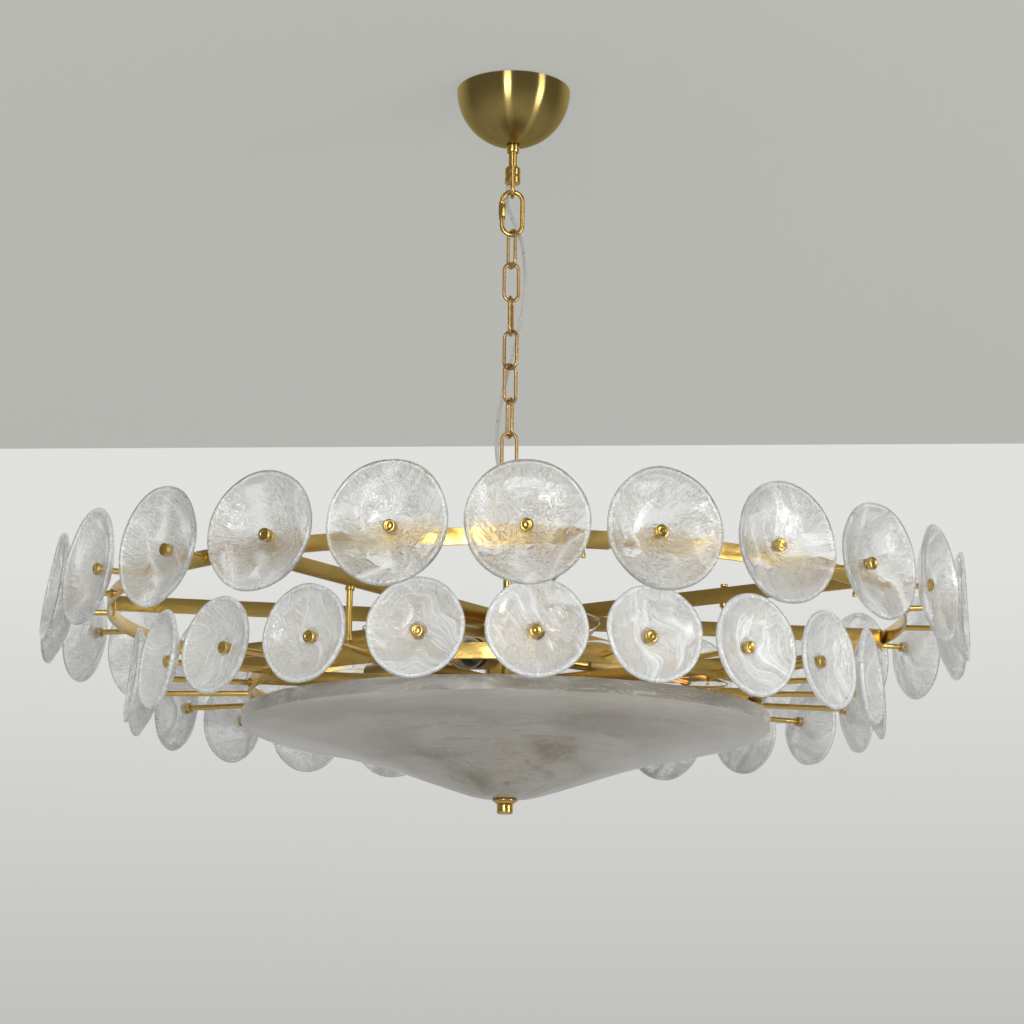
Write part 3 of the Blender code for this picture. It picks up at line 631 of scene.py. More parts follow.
def dish_glass(name, colour, smudge, roughness, shoulder_light):
    """Cloudy glass: brown grey smudges drawn out round the dish, fine threads and bubbles, with painted light
    that makes its flanks and a band under its lip paler.
    """
    look = {"Transmission_Weight": 0.5, "IOR": 1.47, "Coat_Weight": 0.3, "Coat_Roughness": 0.12}
    material, tree, shader = new_material(name, "cloud_glass", **look)
    place = add_node(tree, "TexCoord")["Object"]
    flat = stretched(tree, place, (1.0, 1.0, 0.0))
    way = add_node(tree, "VectorMath", {0: flat}, operation="NORMALIZE")["Vector"]
    reach = add_node(tree, "VectorMath", {0: flat}, operation="LENGTH")["Value"]
    split = add_node(tree, "SeparateXYZ", {"Vector": way})
    height = add_node(tree, "SeparateXYZ", {"Vector": place})["Z"]
    along = times_add(tree, height, 20.0, times(tree, reach, 6.0))
    polar = {"X": split["X"], "Y": split["Y"], "Z": along}
    spot = add_node(tree, "CombineXYZ", polar)["Vector"]
    clouds = rise(tree, 0.40, 0.62, noise_of(tree, spot, 1.3, 3.0, 0.5, 0.8))
    patches = rise(tree, 0.52, 0.68, noise_of(tree, spot, 2.0, 2.0, 0.5, 1.2))
    veins = noise_of(tree, spot, 3.0, 3.0, 0.5, 1.8)
    near = maths(tree, "ABSOLUTE", maths(tree, "SUBTRACT", veins, 0.5))
    threads = ramp(tree, ((0.0, 0.5), (0.02, 0.0)), near)
    drawn = noise_of(tree, stretched(tree, spot, (2.0, 2.0, 7.0)), 1.5, 3.0, 0.55, 1.4)
    wisps = times(tree, rise(tree, 0.57, 0.68, drawn), 0.55)
    dark = maths(tree, "MAXIMUM", times(tree, clouds, 0.85), times(tree, patches, 0.9))
    dark = maths(tree, "MAXIMUM", dark, wisps)
    # Painted light: the flanks seen at a slant and a band under the lip are mixed towards a pale grey
    facing = add_node(tree, "LayerWeight", {"Blend": 0.5})["Facing"]
    flank_painted_light = times(tree, rise(tree, 0.60, 0.86, facing), 0.95)
    shoulder_painted_light = times(tree, rise(tree, 0.205, 0.265, reach), shoulder_light)
    painted_light = maths(tree, "MAXIMUM", flank_painted_light, shoulder_painted_light)
    smudged = mix_colour(tree, painted_light, mix_colour(tree, dark, colour, smudge), (0.93, 0.93, 0.91))
    bubbles = rise(tree, 0.70, 0.76, noise_of(tree, place, 240.0, 1.0))
    fill(tree, shader, {
        "Base Color": mix_colour(tree, threads, smudged, (0.86, 0.85, 0.82)),
        "Roughness": times_add(tree, clouds, 0.10, roughness),
        "Normal": bump(tree, times_add(tree, bubbles, 0.5, veins), 0.25, 0.001),
    })
    return material


def make_metals(metal):
    brass, tarnish = tuple(metal.brass), tuple(metal.tarnish)
    grey = (0.4, 0.4, 0.4)
    # Amount and scale of the patina, and the roughness where it is polished and where it is dull
    for key, name, slot, colour, dark, *look in (
        ("brass", "polished_brass", "brass", brass, tarnish, 0.35, 70.0, 0.10, 0.26),
        ("band", "band_brass", "brass", brass, tarnish, 0.60, 26.0, 0.15, 0.28),
        ("chain", "chain_brass", "chain_brass", metal.chain, tarnish, 0.5, 90.0, 0.16, 0.34),
        ("steel", "zinc_steel", "zinc_steel", metal.steel, grey, 0.4, 120.0, 0.3, 0.5),
    ):
        FINISHES[key] = patina_metal(name, slot, colour, dark, *look)
    brushed = {"Anisotropic": 1.0, "Anisotropic_Rotation": 0.25, "Specular_Tint": (0.74, 0.67, 0.50)}
    satin = spun_metal("satin_brass", "satin_brass", metal.satin, tarnish, 2600.0, 0.19, 0.24, **brushed)
    tree = satin.node_tree
    tangent = add_node(tree, "Tangent", direction_type="RADIAL", axis="Z")["Tangent"]
    tree.links.new(tangent, tree.nodes["Principled BSDF"].inputs["Tangent"])
    FINISHES["satin"] = satin
    FINISHES["sleeve"] = spun_metal("bronze_gold", "brass", metal.sleeve, tarnish, 3500.0, 0.26, 0.42)


def make_glasses(glass, dish):
    clear, milky = glass.upper_colour, glass.lower_colour
    # Clear colour, transmission, dents, waves, dull roughness and share of painted shade in the pits
    FINISHES["upper_glass"] = worked_glass("clear_blown_glass", clear, 0.98, 0.55, 0.24, 0.04, 0.5)
    FINISHES["lower_glass"] = worked_glass("milky_blown_glass", milky, 0.96, 0.5, 0.26, 0.06, 0.7)
    # Whiteness, density, haze, cover and painted glints
    for key, name, *look in (
        ("upper_glass_milk", "sparse_milk", 0.93, 0.58, 0.02, 0.46, 0.14),
        ("lower_glass_milk", "dense_milk", 0.85, 0.78, 0.22, 0.50, 0.12),
        ("upper_glass_rim", "sparse_rim_milk", 0.90, 0.40, 0.05, 0.54, 0.0),
        ("lower_glass_rim", "dense_rim_milk", 0.93, 0.45, 0.25, 0.6, 0.0),
    ):
        FINISHES[key] = milk_material(name, *look)
    FINISHES["dish"] = dish_glass("clouded_glass", dish.colour, dish.smudge, 0.28, 0.55)
    FINISHES["dish_lip"] = dish_glass("lip_glass", dish.lip_colour, dish.smudge, 0.25, 0.0)


def make_lamp_finishes(warm):
    bulb = {"Transmission_Weight": 1.0, "Roughness": 0.0, "IOR": 1.15, "Base_Color": (0.99, 0.985, 0.97)}
    glow = {"Roughness": 0.5, "Emission_Strength": 1.6, "Emission_Color": warm, "Base_Color": warm}
    black = {"Roughness": 0.35, "Base_Color": (0.015, 0.015, 0.015)}
    FINISHES["bulb"] = new_material("bulb_glass", "bulb_glass", **bulb)[0]
    FINISHES["filament"] = new_material("filament", "bulb_glass", **glow)[0]
    FINISHES["socket"] = new_material("black_socket", "brass", **black)[0]


def make_plastic(colour):
    """Clear plastic in which the strands of the wire show."""
    look = {"Transmission_Weight": 0.8, "IOR": 1.35, "Roughness": 0.22}
    plastic, tree, shader = new_material("clear_plastic", "clear_plastic", **look)
    strands = {"Vector": uv_of(tree), "Scale": 3.0, "Distortion": 1.0}
    strand = add_node(tree, "TexWave", strands)["Fac"]
    wire = ramp(tree, ((0.0, tuple(0.62 * c for c in colour)), (0.6, tuple(colour))), strand)
    tree.links.new(wire, shader.inputs["Base Color"])
    FINISHES["cord"] = plastic


def make_materials(scene):
    """Every finish, by the name that the pieces ask for."""
    makers = (make_patina_group, make_spun_group, make_glass_group, make_milk_group)
    for name, maker in zip(("patina", "spun", "glass", "milk"), makers):
        GROUPS[name] = maker()
    make_metals(scene.chandelier_metal)
    make_glasses(scene.chandelier_glass, scene.chandelier_dish)
    make_lamp_finishes(scene.chandelier_lamps.filament)
    make_plastic(scene.chandelier_hanging.cord_colour)


GROUPS = {}
FINISHES = {}


# The pieces, from the ceiling down
def metal_piece(shape, name, finish, body, node=None):
    obj = shape.piece(name, [FINISHES[finish]], body)
    if node:
        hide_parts(node)


def turned_piece(name, profile, sides, body, node, finish="brass", loop=False):
    shape = Shape()
    shape.lathe(profile, sides, loop=loop)
    metal_piece(shape, name, finish, body, node)


def plain_rod(name, ease, sides, node):
    low, high = corners(node)
    turned_piece(name, rod_profile(high.x, low.z, high.z, ease), sides, "fixture", node)


def bored_piece(name, shares, bore, ease, sides, body, node):
    """A turned ring round a bore, from shares of its solid's radius and height."""
    low, high = corners(node)
    profile = [(bore, high.z), *scaled(shares, high.x, low.z, high.z - low.z), (bore, low.z)]
    turned_piece(name, eased(profile, ease, loop=True), sides, body, node, loop=True)


def cord_route():
    """The cord's points, as in the solids, from the ceiling loop's collar to the fixture loop's collar."""
    top = low_collar("ceiling_loop") - GAP
    bottom = high_collar("fixture_loop") + GAP
    reach, exit_reach = 0.01445, 0.00675
    last_turn = LINK_FIRST_TURN + LINK_COUNT * LINK_TWIST + pi / 2
    route = [(top, exit_reach, CORD_ROUTE_SHARES[0][2] * tau)]
    route += [(top + (bottom - top) * down, reach * out, turn * tau) for down, out, turn in CORD_ROUTE_SHARES]
    route += [(bottom + 0.0045, exit_reach, last_turn), (bottom, exit_reach, last_turn)]
    return [Vector((out * cos(turn), out * sin(turn), z)) for z, out, turn in route]


LOOP_COLLAR_HEIGHT = 0.0185
LOOP_COLLAR_RADIUS = 0.0093
LOOP_COLLAR_SHARES = (
    (0.80, 0.0), (0.93, 0.03), (0.99, 0.10), (1.0, 0.30), (0.96, 0.47), (0.94, 0.5),
    (0.96, 0.53), (1.0, 0.70), (0.99, 0.90), (0.93, 0.97), (0.78, 1.0),
)
# Shares of the drop from loop to loop, of the cord's reach round the chain, and of a whole turn
CORD_ROUTE_SHARES = (
    (0.011, 0.480, 0.385), (0.027, 0.590, 0.369), (0.066, 0.690, 0.335), (0.119, 0.740, 0.220),
    (0.177, 1.030, 0.133), (0.242, 1.050, 0.064), (0.313, 1.060, 0.000), (0.383, 1.040, 0.042),
    (0.457, 1.000, 0.114), (0.530, 0.980, 0.186), (0.604, 0.980, 0.256), (0.678, 0.990, 0.319),
    (0.751, 0.980, 0.383), (0.825, 0.980, 0.442), (0.883, 0.980, 0.456), (0.933, 0.910, 0.440),
    (0.972, 0.680, 0.430),
)


def low_collar(node):
    """Lower face of the ceiling loop's collar."""
    return high_of(node) - LOOP_COLLAR_HEIGHT


def high_collar(node):
    """Upper face of the fixture loop's collar."""
    return low_of(node) + LOOP_COLLAR_HEIGHT


def hinge_heights():
    """Heights of the nine hinges that the cord passes."""
    return sorted((j["pos_m"][2] for j in frame["joints"] if j["name"].endswith("_swing")), reverse=True)


def make_cord(settings):
    """The clear supply cord, in nine stretches that each bend over one hinge of the chain."""
    points = smooth(cord_route(), 4)
    hinges = hinge_heights()
    splits = [(a + b) / 2 for a, b in zip(hinges, hinges[1:])]
    radius = settings.cord_radius
    start = points[0]
    for i, height in enumerate([*splits, None]):
        path = [start]
        while len(points) > 1 and (height is None or points[1].z > height):
            points.pop(0)
            path.append(points[0])
        if height is not None:
            share = (points[0].z - height) / (points[0].z - points[1].z)
            cut = points[0].lerp(points[1], share)
            path.append(cut)
            start = cut
            points[0] = cut
        path = [p for k, p in enumerate(path) if not k or (p - path[k - 1]).length > 1e-4]
        shape = Shape()
        shape.sweep(path, circle(radius, 14))
        obj = shape.piece(f"supply_cord_{i + 1}", [FINISHES["cord"]])
        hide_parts("supply_cord")
        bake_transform(obj)


def make_ceiling_pieces():
    """The bracket and its nut keep their solids. The tube through the canopy gets its thread."""
    for node in ("ceiling_bracket", "bracket_nut"):
        for item in frame["nodes"][node].material_slots:
            item.material = FINISHES["steel"]
    radius = corners("canopy_stem")[1].x
    top, bottom = high_of("canopy_stem"), low_of("canopy_stem")
    pitch, threads_end = 0.0012, -0.062
    profile = [(GAP, top), (radius * 0.86, top)]
    height = top - pitch
    while height > threads_end:
        profile += [(radius, height), (radius * 0.88, height - pitch / 2)]
        height -= pitch
    profile += [(radius, height), (radius, bottom), (GAP, bottom)]
    turned_piece("canopy_tube", profile, 40, "ceiling", "canopy_stem")


def make_canopy(settings):
    """A spun half-ball with a hole at its bottom, and the short collar under it."""
    high = corners("canopy")[1]
    radius, middle = high.x, high.z
    inner = radius - settings.canopy_wall
    hole = corners("canopy_collar")[1].x - 0.0022
    steps = 40

    def arc(size):
        end = asin(hole / size)
        turns = (pi / 2 - (pi / 2 - end) * i / steps for i in range(steps + 1))
        return [(size * sin(t), middle - size * cos(t)) for t in turns]

    profile = arc(radius) + arc(inner)[::-1]
    turned_piece("canopy_shell", profile, 120, "canopy", "canopy", "satin", loop=True)
    shares = ((0.98, 1.0), (1.0, 0.9), (1.0, 0.3), (0.93, 0.1), (0.88, 0.0))
    bore = corners("canopy_stem")[1].x + GAP
    bored_piece("canopy_collar_ring", shares, bore, 0.0006, 48, "canopy", "canopy_collar")


def make_loop(settings, node, turn, body, hangs):
    """A collar of two rounded bands, and a ring of wire that runs up into its middle."""
    low, high = corners(node)
    radius, wire = settings.loop_radius, settings.loop_wire
    face = low_collar(node) if hangs else high_collar(node)
    back = high.z if hangs else low.z
    centre = low.z + radius + wire if hangs else high.z - radius - wire
    bands = scaled(LOOP_COLLAR_SHARES, LOOP_COLLAR_RADIUS, back, face - back)
    shape = Shape()
    shape.lathe([tuple(p) for p in smooth([(GAP, back), *bands, (GAP, face)], 3)], 56)
    way = -1 if hangs else 1
    turns = [pi * i / 30 for i in range(31)]
    bow = [(-radius * cos(t), centre + way * radius * sin(t)) for t in turns]
    leg = back - way * 0.0006
    path = upright([(-radius, leg), *bow, (radius, leg)], turn)
    shape.sweep(path, circle(wire, 18), up=plane_normal(turn))
    metal_piece(shape, node + "_ring", "brass", body, node)


# Heights up the nut, and how far it reaches out there
QUICK_NUT_SHARES = (
    (0.0, 0.80), (0.03, 0.93), (0.10, 0.93), (0.12, 0.86), (0.16, 0.86), (0.19, 1.0),
    (0.81, 1.0), (0.84, 0.86), (0.88, 0.86), (0.90, 0.93), (0.97, 0.93), (1.0, 0.80),
)


def make_quick_link(settings):
    """A bent wire link with threaded ends, and the six-sided sleeve that closes it."""
    low, high = corners("quick_link")
    wire = settings.quick_wire
    half = high.x - wire
    top, bottom = high.z - wire, low.z + wire
    middle = (top + bottom) / 2
    straight = (top - bottom) / 2 - half
    sleeve_low, sleeve_high = corners("quick_link_sleeve")
    mouth = sleeve_high.z - 0.0022
    path = [(-half, mouth)]
    for end, start in ((1, pi), (-1, 0.0)):
        for i in range(25):
            angle = start - pi * i / 24
            path.append((half * cos(angle), middle + end * straight + half * sin(angle)))
    path.append((-half, mouth - 0.0042))
    shape = Shape()
    shape.sweep([Vector((x, 0, z)) for x, z in path], circle(wire, 20), up=Vector((0, 1, 0)))
    metal_piece(shape, "quick_link_wire", "brass", "quick_link", "quick_link")

    bore, outer = wire + GAP, sleeve_high.y
    height = sleeve_high.z - sleeve_low.z
    turns = [tau * k / 36 + pi / 6 for k in range(36)]
    shape = Shape()
    rows = []
    for share, out in QUICK_NUT_SHARES:
        z = sleeve_low.z + height * share
        row = []
        for turn in turns:
            corner = (turn + pi / 6) % (pi / 3) - pi / 6
            across = outer * cos(pi / 6) / cos(corner)
            reach = min(across, outer * 0.97) if out == 1.0 else outer * out * 0.93
            row.append(Vector((-half + reach * cos(turn), reach * sin(turn), z)))
        rows.append(row)
    for z in (sleeve_high.z, sleeve_low.z):
        rows.append([Vector((-half + bore * cos(t), bore * sin(t), z)) for t in turns])
    shape.grid(rows, loop=True)
    metal_piece(shape, "quick_link_nut", "brass", "quick_link_sleeve", "quick_link_sleeve")


def make_chain(settings):
    """Seven links of round wire, each turned from the one above."""
    width = 0.016
    wire = settings.link_wire
    for i, body in enumerate(LINK_BODIES):
        node = f"chain_link_{i + 1}"
        low, high = corners(node)
        turn = LINK_FIRST_TURN + i * LINK_TWIST
        path = wire_path(high.z - low.z - 2 * wire, width, turn, (high.z + low.z) / 2)
        shape = Shape()
        shape.sweep(path, circle(wire, 18), up=plane_normal(turn), loop=True)
        metal_piece(shape, f"link_wire_{i + 1}", "chain", body, node)


def make_stem():
    """The tube from the lower loop to the hub, and the tall nut over the spokes."""
    plain_rod("fixture_tube", 0.0005, 40, "fixture_stem")
    bore = corners("fixture_stem")[1].x + GAP
    shares = (
        (0.72, 1.0), (0.86, 0.94), (0.92, 0.80), (0.92, 0.55),
        (0.97, 0.50), (1.0, 0.44), (1.0, 0.06), (0.96, 0.0),
    )
    bored_piece("hub_cup", shares, bore, 0.0007, 56, "fixture", "hub_nut")


def band_section():
    side, top = BAND_THICKNESS / 2, BAND_HEIGHT / 2
    return eased([(-side, -top), (side, -top), (side, top), (-side, top)], 0.0005, loop=True, steps=2)


def make_band(name, radius, height, node):
    """A flat band on edge, rolled into a ring, very slightly out of round."""
    path = []
    for t in around(216, 0.0):
        stray = radius * (1 + 0.0006 * sin(3 * t + 1) + 0.0004 * sin(7 * t))
        path.append(Vector((stray * sin(t), -stray * cos(t), height)))
    shape = Shape()
    shape.sweep(path, band_section(), up=Vector((0, 0, 1)), loop=True)
    metal_piece(shape, name, "band", "fixture", node)


def spoke_path(start, end, azimuth, height):
    """From the hub straight out, then bent round to lie along the ring."""
    bend, tab = 0.004, 0.022
    inner = end - BAND_THICKNESS / 2
    path = [(0.0, start), (0.0, inner - bend)]
    for i in range(1, 6):
        turn = pi / 2 * i / 6
        path.append((bend * (1 - cos(turn)), inner - bend + bend * sin(turn)))
    first = bend / inner
    for i in range(7):
        along = first + (tab / inner - first) * i / 6
        path.append((inner * sin(along), inner * cos(along)))
    turned = Matrix.Rotation(azimuth, 3, "Z")
    return [turned @ Vector((x, -y, 0)) + Vector((0, 0, height)) for x, y in path]


SCREW_HEAD = (
    (GAP, -0.0019), (0.001485, -0.0018), (0.00243, -0.0012), (0.0027, -0.0004), (0.0027, GAP), (GAP, GAP),
)
RING_PIN = (
    (GAP, -0.0085), (0.0021, -0.0083), (0.0021, -0.0045), (0.0014, -0.0041), (0.0014, 0.0), (GAP, 0.0),
)


def make_spokes(node, name, middle, bore, hub, ring_radius):
    """Flat bars on edge from a hub ring, with a bent tab at each end and a screw through it."""
    low, high = middle - BAND_HEIGHT / 2, middle + BAND_HEIGHT / 2
    bars, screws = Shape(), Shape()
    bars.lathe(tube_profile(bore, hub, low, high, 0.0006), 72, loop=True)
    end = (ring_radius - BAND_THICKNESS / 2) * cos(pi / (2 * LOWER_COUNT)) - GAP
    inside = end - BAND_THICKNESS
    for azimuth in around(SPOKE_COUNT, SPOKE_TURN):
        path = spoke_path(hub - 0.001, end, azimuth, middle)
        bars.sweep(path, band_section(), up=Vector((0, 0, 1)))
        screws.lathe(SCREW_HEAD, 20, outward(azimuth + 0.0155 / end, middle, start=inside))
        if node == "upper_spokes":
            spot = outward(azimuth - 0.001 / end, 0.0, start=inside).translation
            screws.lathe(eased(RING_PIN, 0.0003), 14, Matrix.Translation((spot.x, spot.y, low - GAP)))
    metal_piece(bars, name, "band", "fixture", node)
    metal_piece(screws, name + "_screws", "brass", "fixture")


def make_frame():
    """Spokes, bands and the four rods that hang the lower frame from the upper one."""
    make_band("upper_band", UPPER_RING, UPPER_Z, "upper_ring")
    make_band("lower_band", LOWER_RING, LOWER_Z, "lower_ring_with_discs")
    stem = corners("fixture_stem")[1].x + GAP
    hub = LAMP_HUB_RADIUS
    make_spokes("upper_spokes", "upper_bars", UPPER_Z, stem, 0.026, UPPER_RING)
    make_spokes("lower_spokes", "lower_bars", LOWER_SPOKE_Z, hub + GAP, hub + 0.0045, LOWER_RING)
    for i in range(4):
        node = f"hanger_rod_{i + 1}"
        low, high = corners(node)
        middle = (low + high) / 2
        radius = (high.x - low.x) / 2
        at = Matrix.Translation((middle.x, middle.y, 0))
        wide = radius * 1.5
        foot, neck = low.z + 0.005, high.z - 0.004
        profile = [(GAP, low.z), (wide, low.z), (wide, foot), (radius, foot)]
        profile += [(radius, neck), (wide, neck), (wide, high.z), (GAP, high.z)]
        shape = Shape()
        shape.lathe(eased(profile, 0.0005), 24, at)
        over = high.z + BAND_HEIGHT + 2 * GAP
        shape.lathe(rod_profile(radius * 1.25, over, over + 0.0026, 0.0005), 20, at)
        metal_piece(shape, f"hanger_{i + 1}", "brass", "fixture", node)


LAMP_HUB_RADIUS = 0.023


# Shares of the collar's radius, with heights in metres, and shares of the cap's radius and height
ROD_COLLAR = ((0.9, -0.0026), (1.0, -0.0022), (1.02, -0.0014), (1.0, -0.0006), (0.9, -GAP))
CAP_SHARES = (
    (0.94, 0.0), (1.0, 0.12), (1.0, 0.72), (0.94, 0.92), (0.82, 1.0), (0.62, 1.0), (0.52, 0.9), (0.34, 0.86),
    (0.16, 0.93),
)


def rod_rings(settings, length, back):
    """Profile of a rod, its collar and its dimpled button cap. Height 0 is the glass's back."""
    rod, tall = settings.rod_radius, settings.cap_height
    profile = [(GAP, -length), (rod, -length), (rod, -0.0027)]
    profile += [(settings.collar_radius * out, height) for out, height in ROD_COLLAR]
    profile += [(rod, -GAP), (rod, back), *scaled(CAP_SHARES, settings.cap_radius, back, tall)]
    return [*profile, (GAP, back + 0.94 * tall)]


def make_rods(name, settings, count, first, height, ring, back_face, under):
    shape = Shape()
    profile = rod_rings(settings, back_face - ring - BAND_THICKNESS * 0.3, under)
    nut = eased([(GAP, 0.0), (0.0048, 0.0), (0.0048, 0.0022), (GAP, 0.0022)], 0.0004)
    outside = ring + BAND_THICKNESS / 2 - 0.0001
    for azimuth in around(count, first):
        shape.lathe(profile, 28, outward(azimuth, height, start=back_face))
        shape.lathe(nut, 18, outward(azimuth, height, start=outside))
    metal_piece(shape, name, "brass", "fixture")


GLASS_CURVE = 2.35  # the discs are flatter in the middle than a dish of even curve


def curve(r, radius, depth):
    """How far the back of a disc stands out at r from its middle."""
    return depth * (r / radius) ** GLASS_CURVE


def rim_spot(radius, depth, thickness, bead):
    """Middle of the bead at the rim, from the disc's middle and outwards."""
    edge = radius - bead * 1.02
    return edge, curve(edge, radius, depth) + thickness / 2


def glass_profile(radius, depth, thickness, bead):
    """Half a section of a disc, from its hole over the back, round the rim and over the front."""
    hole = 0.0034
    along = Vector((1, GLASS_CURVE * depth / radius)).normalized()
    across = Vector((-along.y, along.x))
    edge, out = rim_spot(radius, depth, thickness, bead)
    rim = Vector((edge, out))
    reach = edge - bead * 0.6
    back = [hole + (reach - hole) * s for s in (0.0, 0.12, 0.25, 0.4, 0.55, 0.7, 0.82, 0.91)]
    profile = [(r, curve(r, radius, depth)) for r in back]
    for i in range(11):
        turn = radians(-112 + 224 * i / 10)
        profile.append(tuple(rim + along * bead * cos(turn) + across * bead * sin(turn)))
    return profile + [(r, curve(r, radius, depth) + thickness) for r in reversed(back)]


# Width and height of the discs at the front, as shares of the tier's, counted from the middle one
UPPER_FRONT_SHARES = {
    -4: (1.0, 1.03), -3: (0.97, 1.03), -2: (0.99, 1.01), -1: (0.995, 1.045), 0: (1.0, 1.025),
    1: (0.97, 1.01), 2: (0.995, 1.02), 3: (1.02, 0.995), 4: (0.975, 1.03),
}
LOWER_FRONT_SHARES = {
    -4: (0.98, 1.04), -3: (1.03, 1.0), -2: (0.95, 1.005), -1: (0.98, 1.007), 0: (1.0, 0.99),
    1: (1.0, 0.98), 2: (1.035, 1.045), 3: (1.04, 1.02),
}


class Disc:
    """One hand made disc: where a point of its plain form ends up."""

    def __init__(self, settings, radius, depth, shares, at, azimuth, seed):
        random = Random(seed)
        self.radius, self.depth = radius, depth
        wide, tall = shares or (random.uniform(0.975, 1.02), random.uniform(0.985, 1.035))
        self.wide, self.tall = wide, tall
        stray = settings.unevenness
        self.waves = [
            (k, stray * random.uniform(0.15, 0.45), random.uniform(0, tau)) for k in (2, 3, 4, 5, 7)
        ]
        self.offset = Vector([random.uniform(0, 90) for _ in range(3)])
        lean = settings.lean * (1 - 0.5 * sin(azimuth)) + random.uniform(-0.018, 0.018)
        tilt = random.uniform(-0.02, 0.02)
        self.matrix = at @ Matrix.Rotation(-lean, 4, "X") @ Matrix.Rotation(tilt, 4, "Y")
        spin = random.uniform(0, tau)
        self.turn = (cos(spin), sin(spin))
        self.shift = (random.uniform(-6, 6), random.uniform(-6, 6))

    def spot(self, r, z, t):
        share = r / self.radius
        out = r * (1 + share**3 * sum(size * sin(k * t + phase) for k, size, phase in self.waves))
        spot = Vector((out * cos(t) * self.wide, out * sin(t) * self.tall, z))
        ripple = noise.noise(spot * 34 + self.offset) * 0.0004
        ripple += noise.noise(spot * 120 + self.offset) * 0.00007
        warp = share * share * 0.0008 * sin(2 * t + self.waves[1][2])
        spot.z += min(1, 3 * share * share) * ripple + warp
        return spot

    def rows(self, profile, sides):
        return [[self.spot(r, z, tau * j / sides) for j in range(sides)] for r, z in profile]

    def add_to(self, shape, rows, slot=0):
        """The rows as faces, with the pattern's place as UV."""
        first = len(shape.faces)
        shape.grid([[self.matrix @ point for point in row] for row in rows], loop=True, slot=slot)
        flat = [point for row in rows for point in row]
        base = len(shape.points) - len(flat)
        across, along = self.turn
        for i in range(first, len(shape.faces)):
            spots = [flat[k - base] for k in shape.faces[i]]
            turned = [(p.x * across - p.y * along, p.x * along + p.y * across) for p in spots]
            shape.uvs[i] = tuple(
                (x / self.radius + self.shift[0], y / self.radius + self.shift[1]) for x, y in turned
            )


def milk_profile(radius, depth, thickness):
    """A thin closed sheet of milk in the middle of the glass."""
    half, first, last = 0.0003, 0.009, radius * 0.955
    spots = [first + (last - first) * i / 13 for i in range(14)]
    middle = [(r, curve(r, radius, depth) + thickness / 2) for r in spots]
    return [(r, z - half) for r, z in middle] + [(r, z + half) for r, z in reversed(middle)]


def make_discs(settings, tier, count, first, height, back_face, radius, depth, shares, rim_milk, nodes=None):
    """The glass discs of one tier, each a piece of its own, with the milk inside it."""
    sides = 72
    thickness = settings.thickness
    bead = thickness * 0.56
    edge, out = rim_spot(radius, depth, thickness, bead)
    rim = [(edge + bead * rim_milk * cos(t), out + bead * rim_milk * sin(t)) for t in around(8, 0.0)]
    for i, azimuth in enumerate(around(count, first)):
        from_front = i if i <= count / 2 else i - count
        at = outward(azimuth, height, start=back_face)
        disc = Disc(settings, radius, depth, shares.get(from_front), at, azimuth, f"{tier}{i}")
        shape = Shape()
        disc.add_to(shape, disc.rows(glass_profile(radius, depth, thickness, bead), sides))
        obj = shape.piece(f"{tier}_{i + 1:02d}", [FINISHES[tier]], "fixture", smooth_below=radians(60))
        obj.visible_shadow = False
        if nodes:
            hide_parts(f"{nodes}_{i + 1:02d}")
        milk = Shape()
        disc.add_to(milk, disc.rows(milk_profile(radius, depth, thickness), sides))
        disc.add_to(milk, disc.rows(rim, sides), slot=1)
        inside = [FINISHES[tier + "_milk"], FINISHES[tier + "_rim"]]
        obj = milk.piece(f"{tier}_milk_{i + 1:02d}", inside, "fixture", smooth_below=radians(60))


LAMP_FINISHES = {
    "arms": "brass", "sleeves": "sleeve", "sockets": "socket", "bulbs": "bulb", "filaments": "filament",
}


def make_lamps(settings):
    """The lamp hub with its arms, sleeves, black sockets and clear candle bulbs."""
    top = UPPER_Z - BAND_HEIGHT / 2 - GAP
    bottom = high_of("dish_rod") + GAP
    shares = ((0.7, 0.0), (0.92, 0.03), (1.0, 0.10), (1.0, 0.86), (0.94, 0.94), (0.94, 1.0))
    outline = [(GAP, bottom), *scaled(shares, LAMP_HUB_RADIUS, bottom, top - bottom), (GAP, top)]
    turned_piece("lamp_hub", eased(outline, 0.001), 64, "fixture", "lamp_cluster")
    parts = {name: Shape() for name in LAMP_FINISHES}
    for i, azimuth in enumerate(around(8, SPOKE_TURN + pi / SPOKE_COUNT)):
        sloping = i % 2 == 1
        start = 0.092 if sloping else 0.028
        height = top - (0.029 if sloping else 0.0185)
        at = outward(azimuth, height, slope=settings.slope if sloping else 0.0)
        add_lamp(settings, at, start, parts)
    for name, finish in LAMP_FINISHES.items():
        metal_piece(parts[name], f"lamp_{name}", finish, "fixture")


def bulb_profile(settings, end):
    """The glass of a bulb: up over its outside to the tip and down its inside."""
    length, widest = settings.bulb_length, settings.bulb_radius
    # Heights are metres below the sleeve's end, and shares of the length above it
    outline = [(0.0105, -0.010), (0.0108, -0.002), (0.0118, 0.04), (0.0150, 0.16), (widest, 0.34)]
    outline += [(widest * 0.93, 0.52), (0.0112, 0.74), (0.0058, 0.9), (0.0024, 0.985), (0.0008, 1.0)]
    outer = [(r, end + (h if h < 0 else h * length)) for r, h in outline]
    outer = [tuple(p) for p in smooth(outer, 3)]
    glass = 0.0006
    inner = [(max(r - glass, 0.0005), h - (glass if r < 0.004 else 0.0)) for r, h in outer]
    return outer + [(inner[-1][0], inner[-1][1] - glass)] + inner[:-1][::-1]


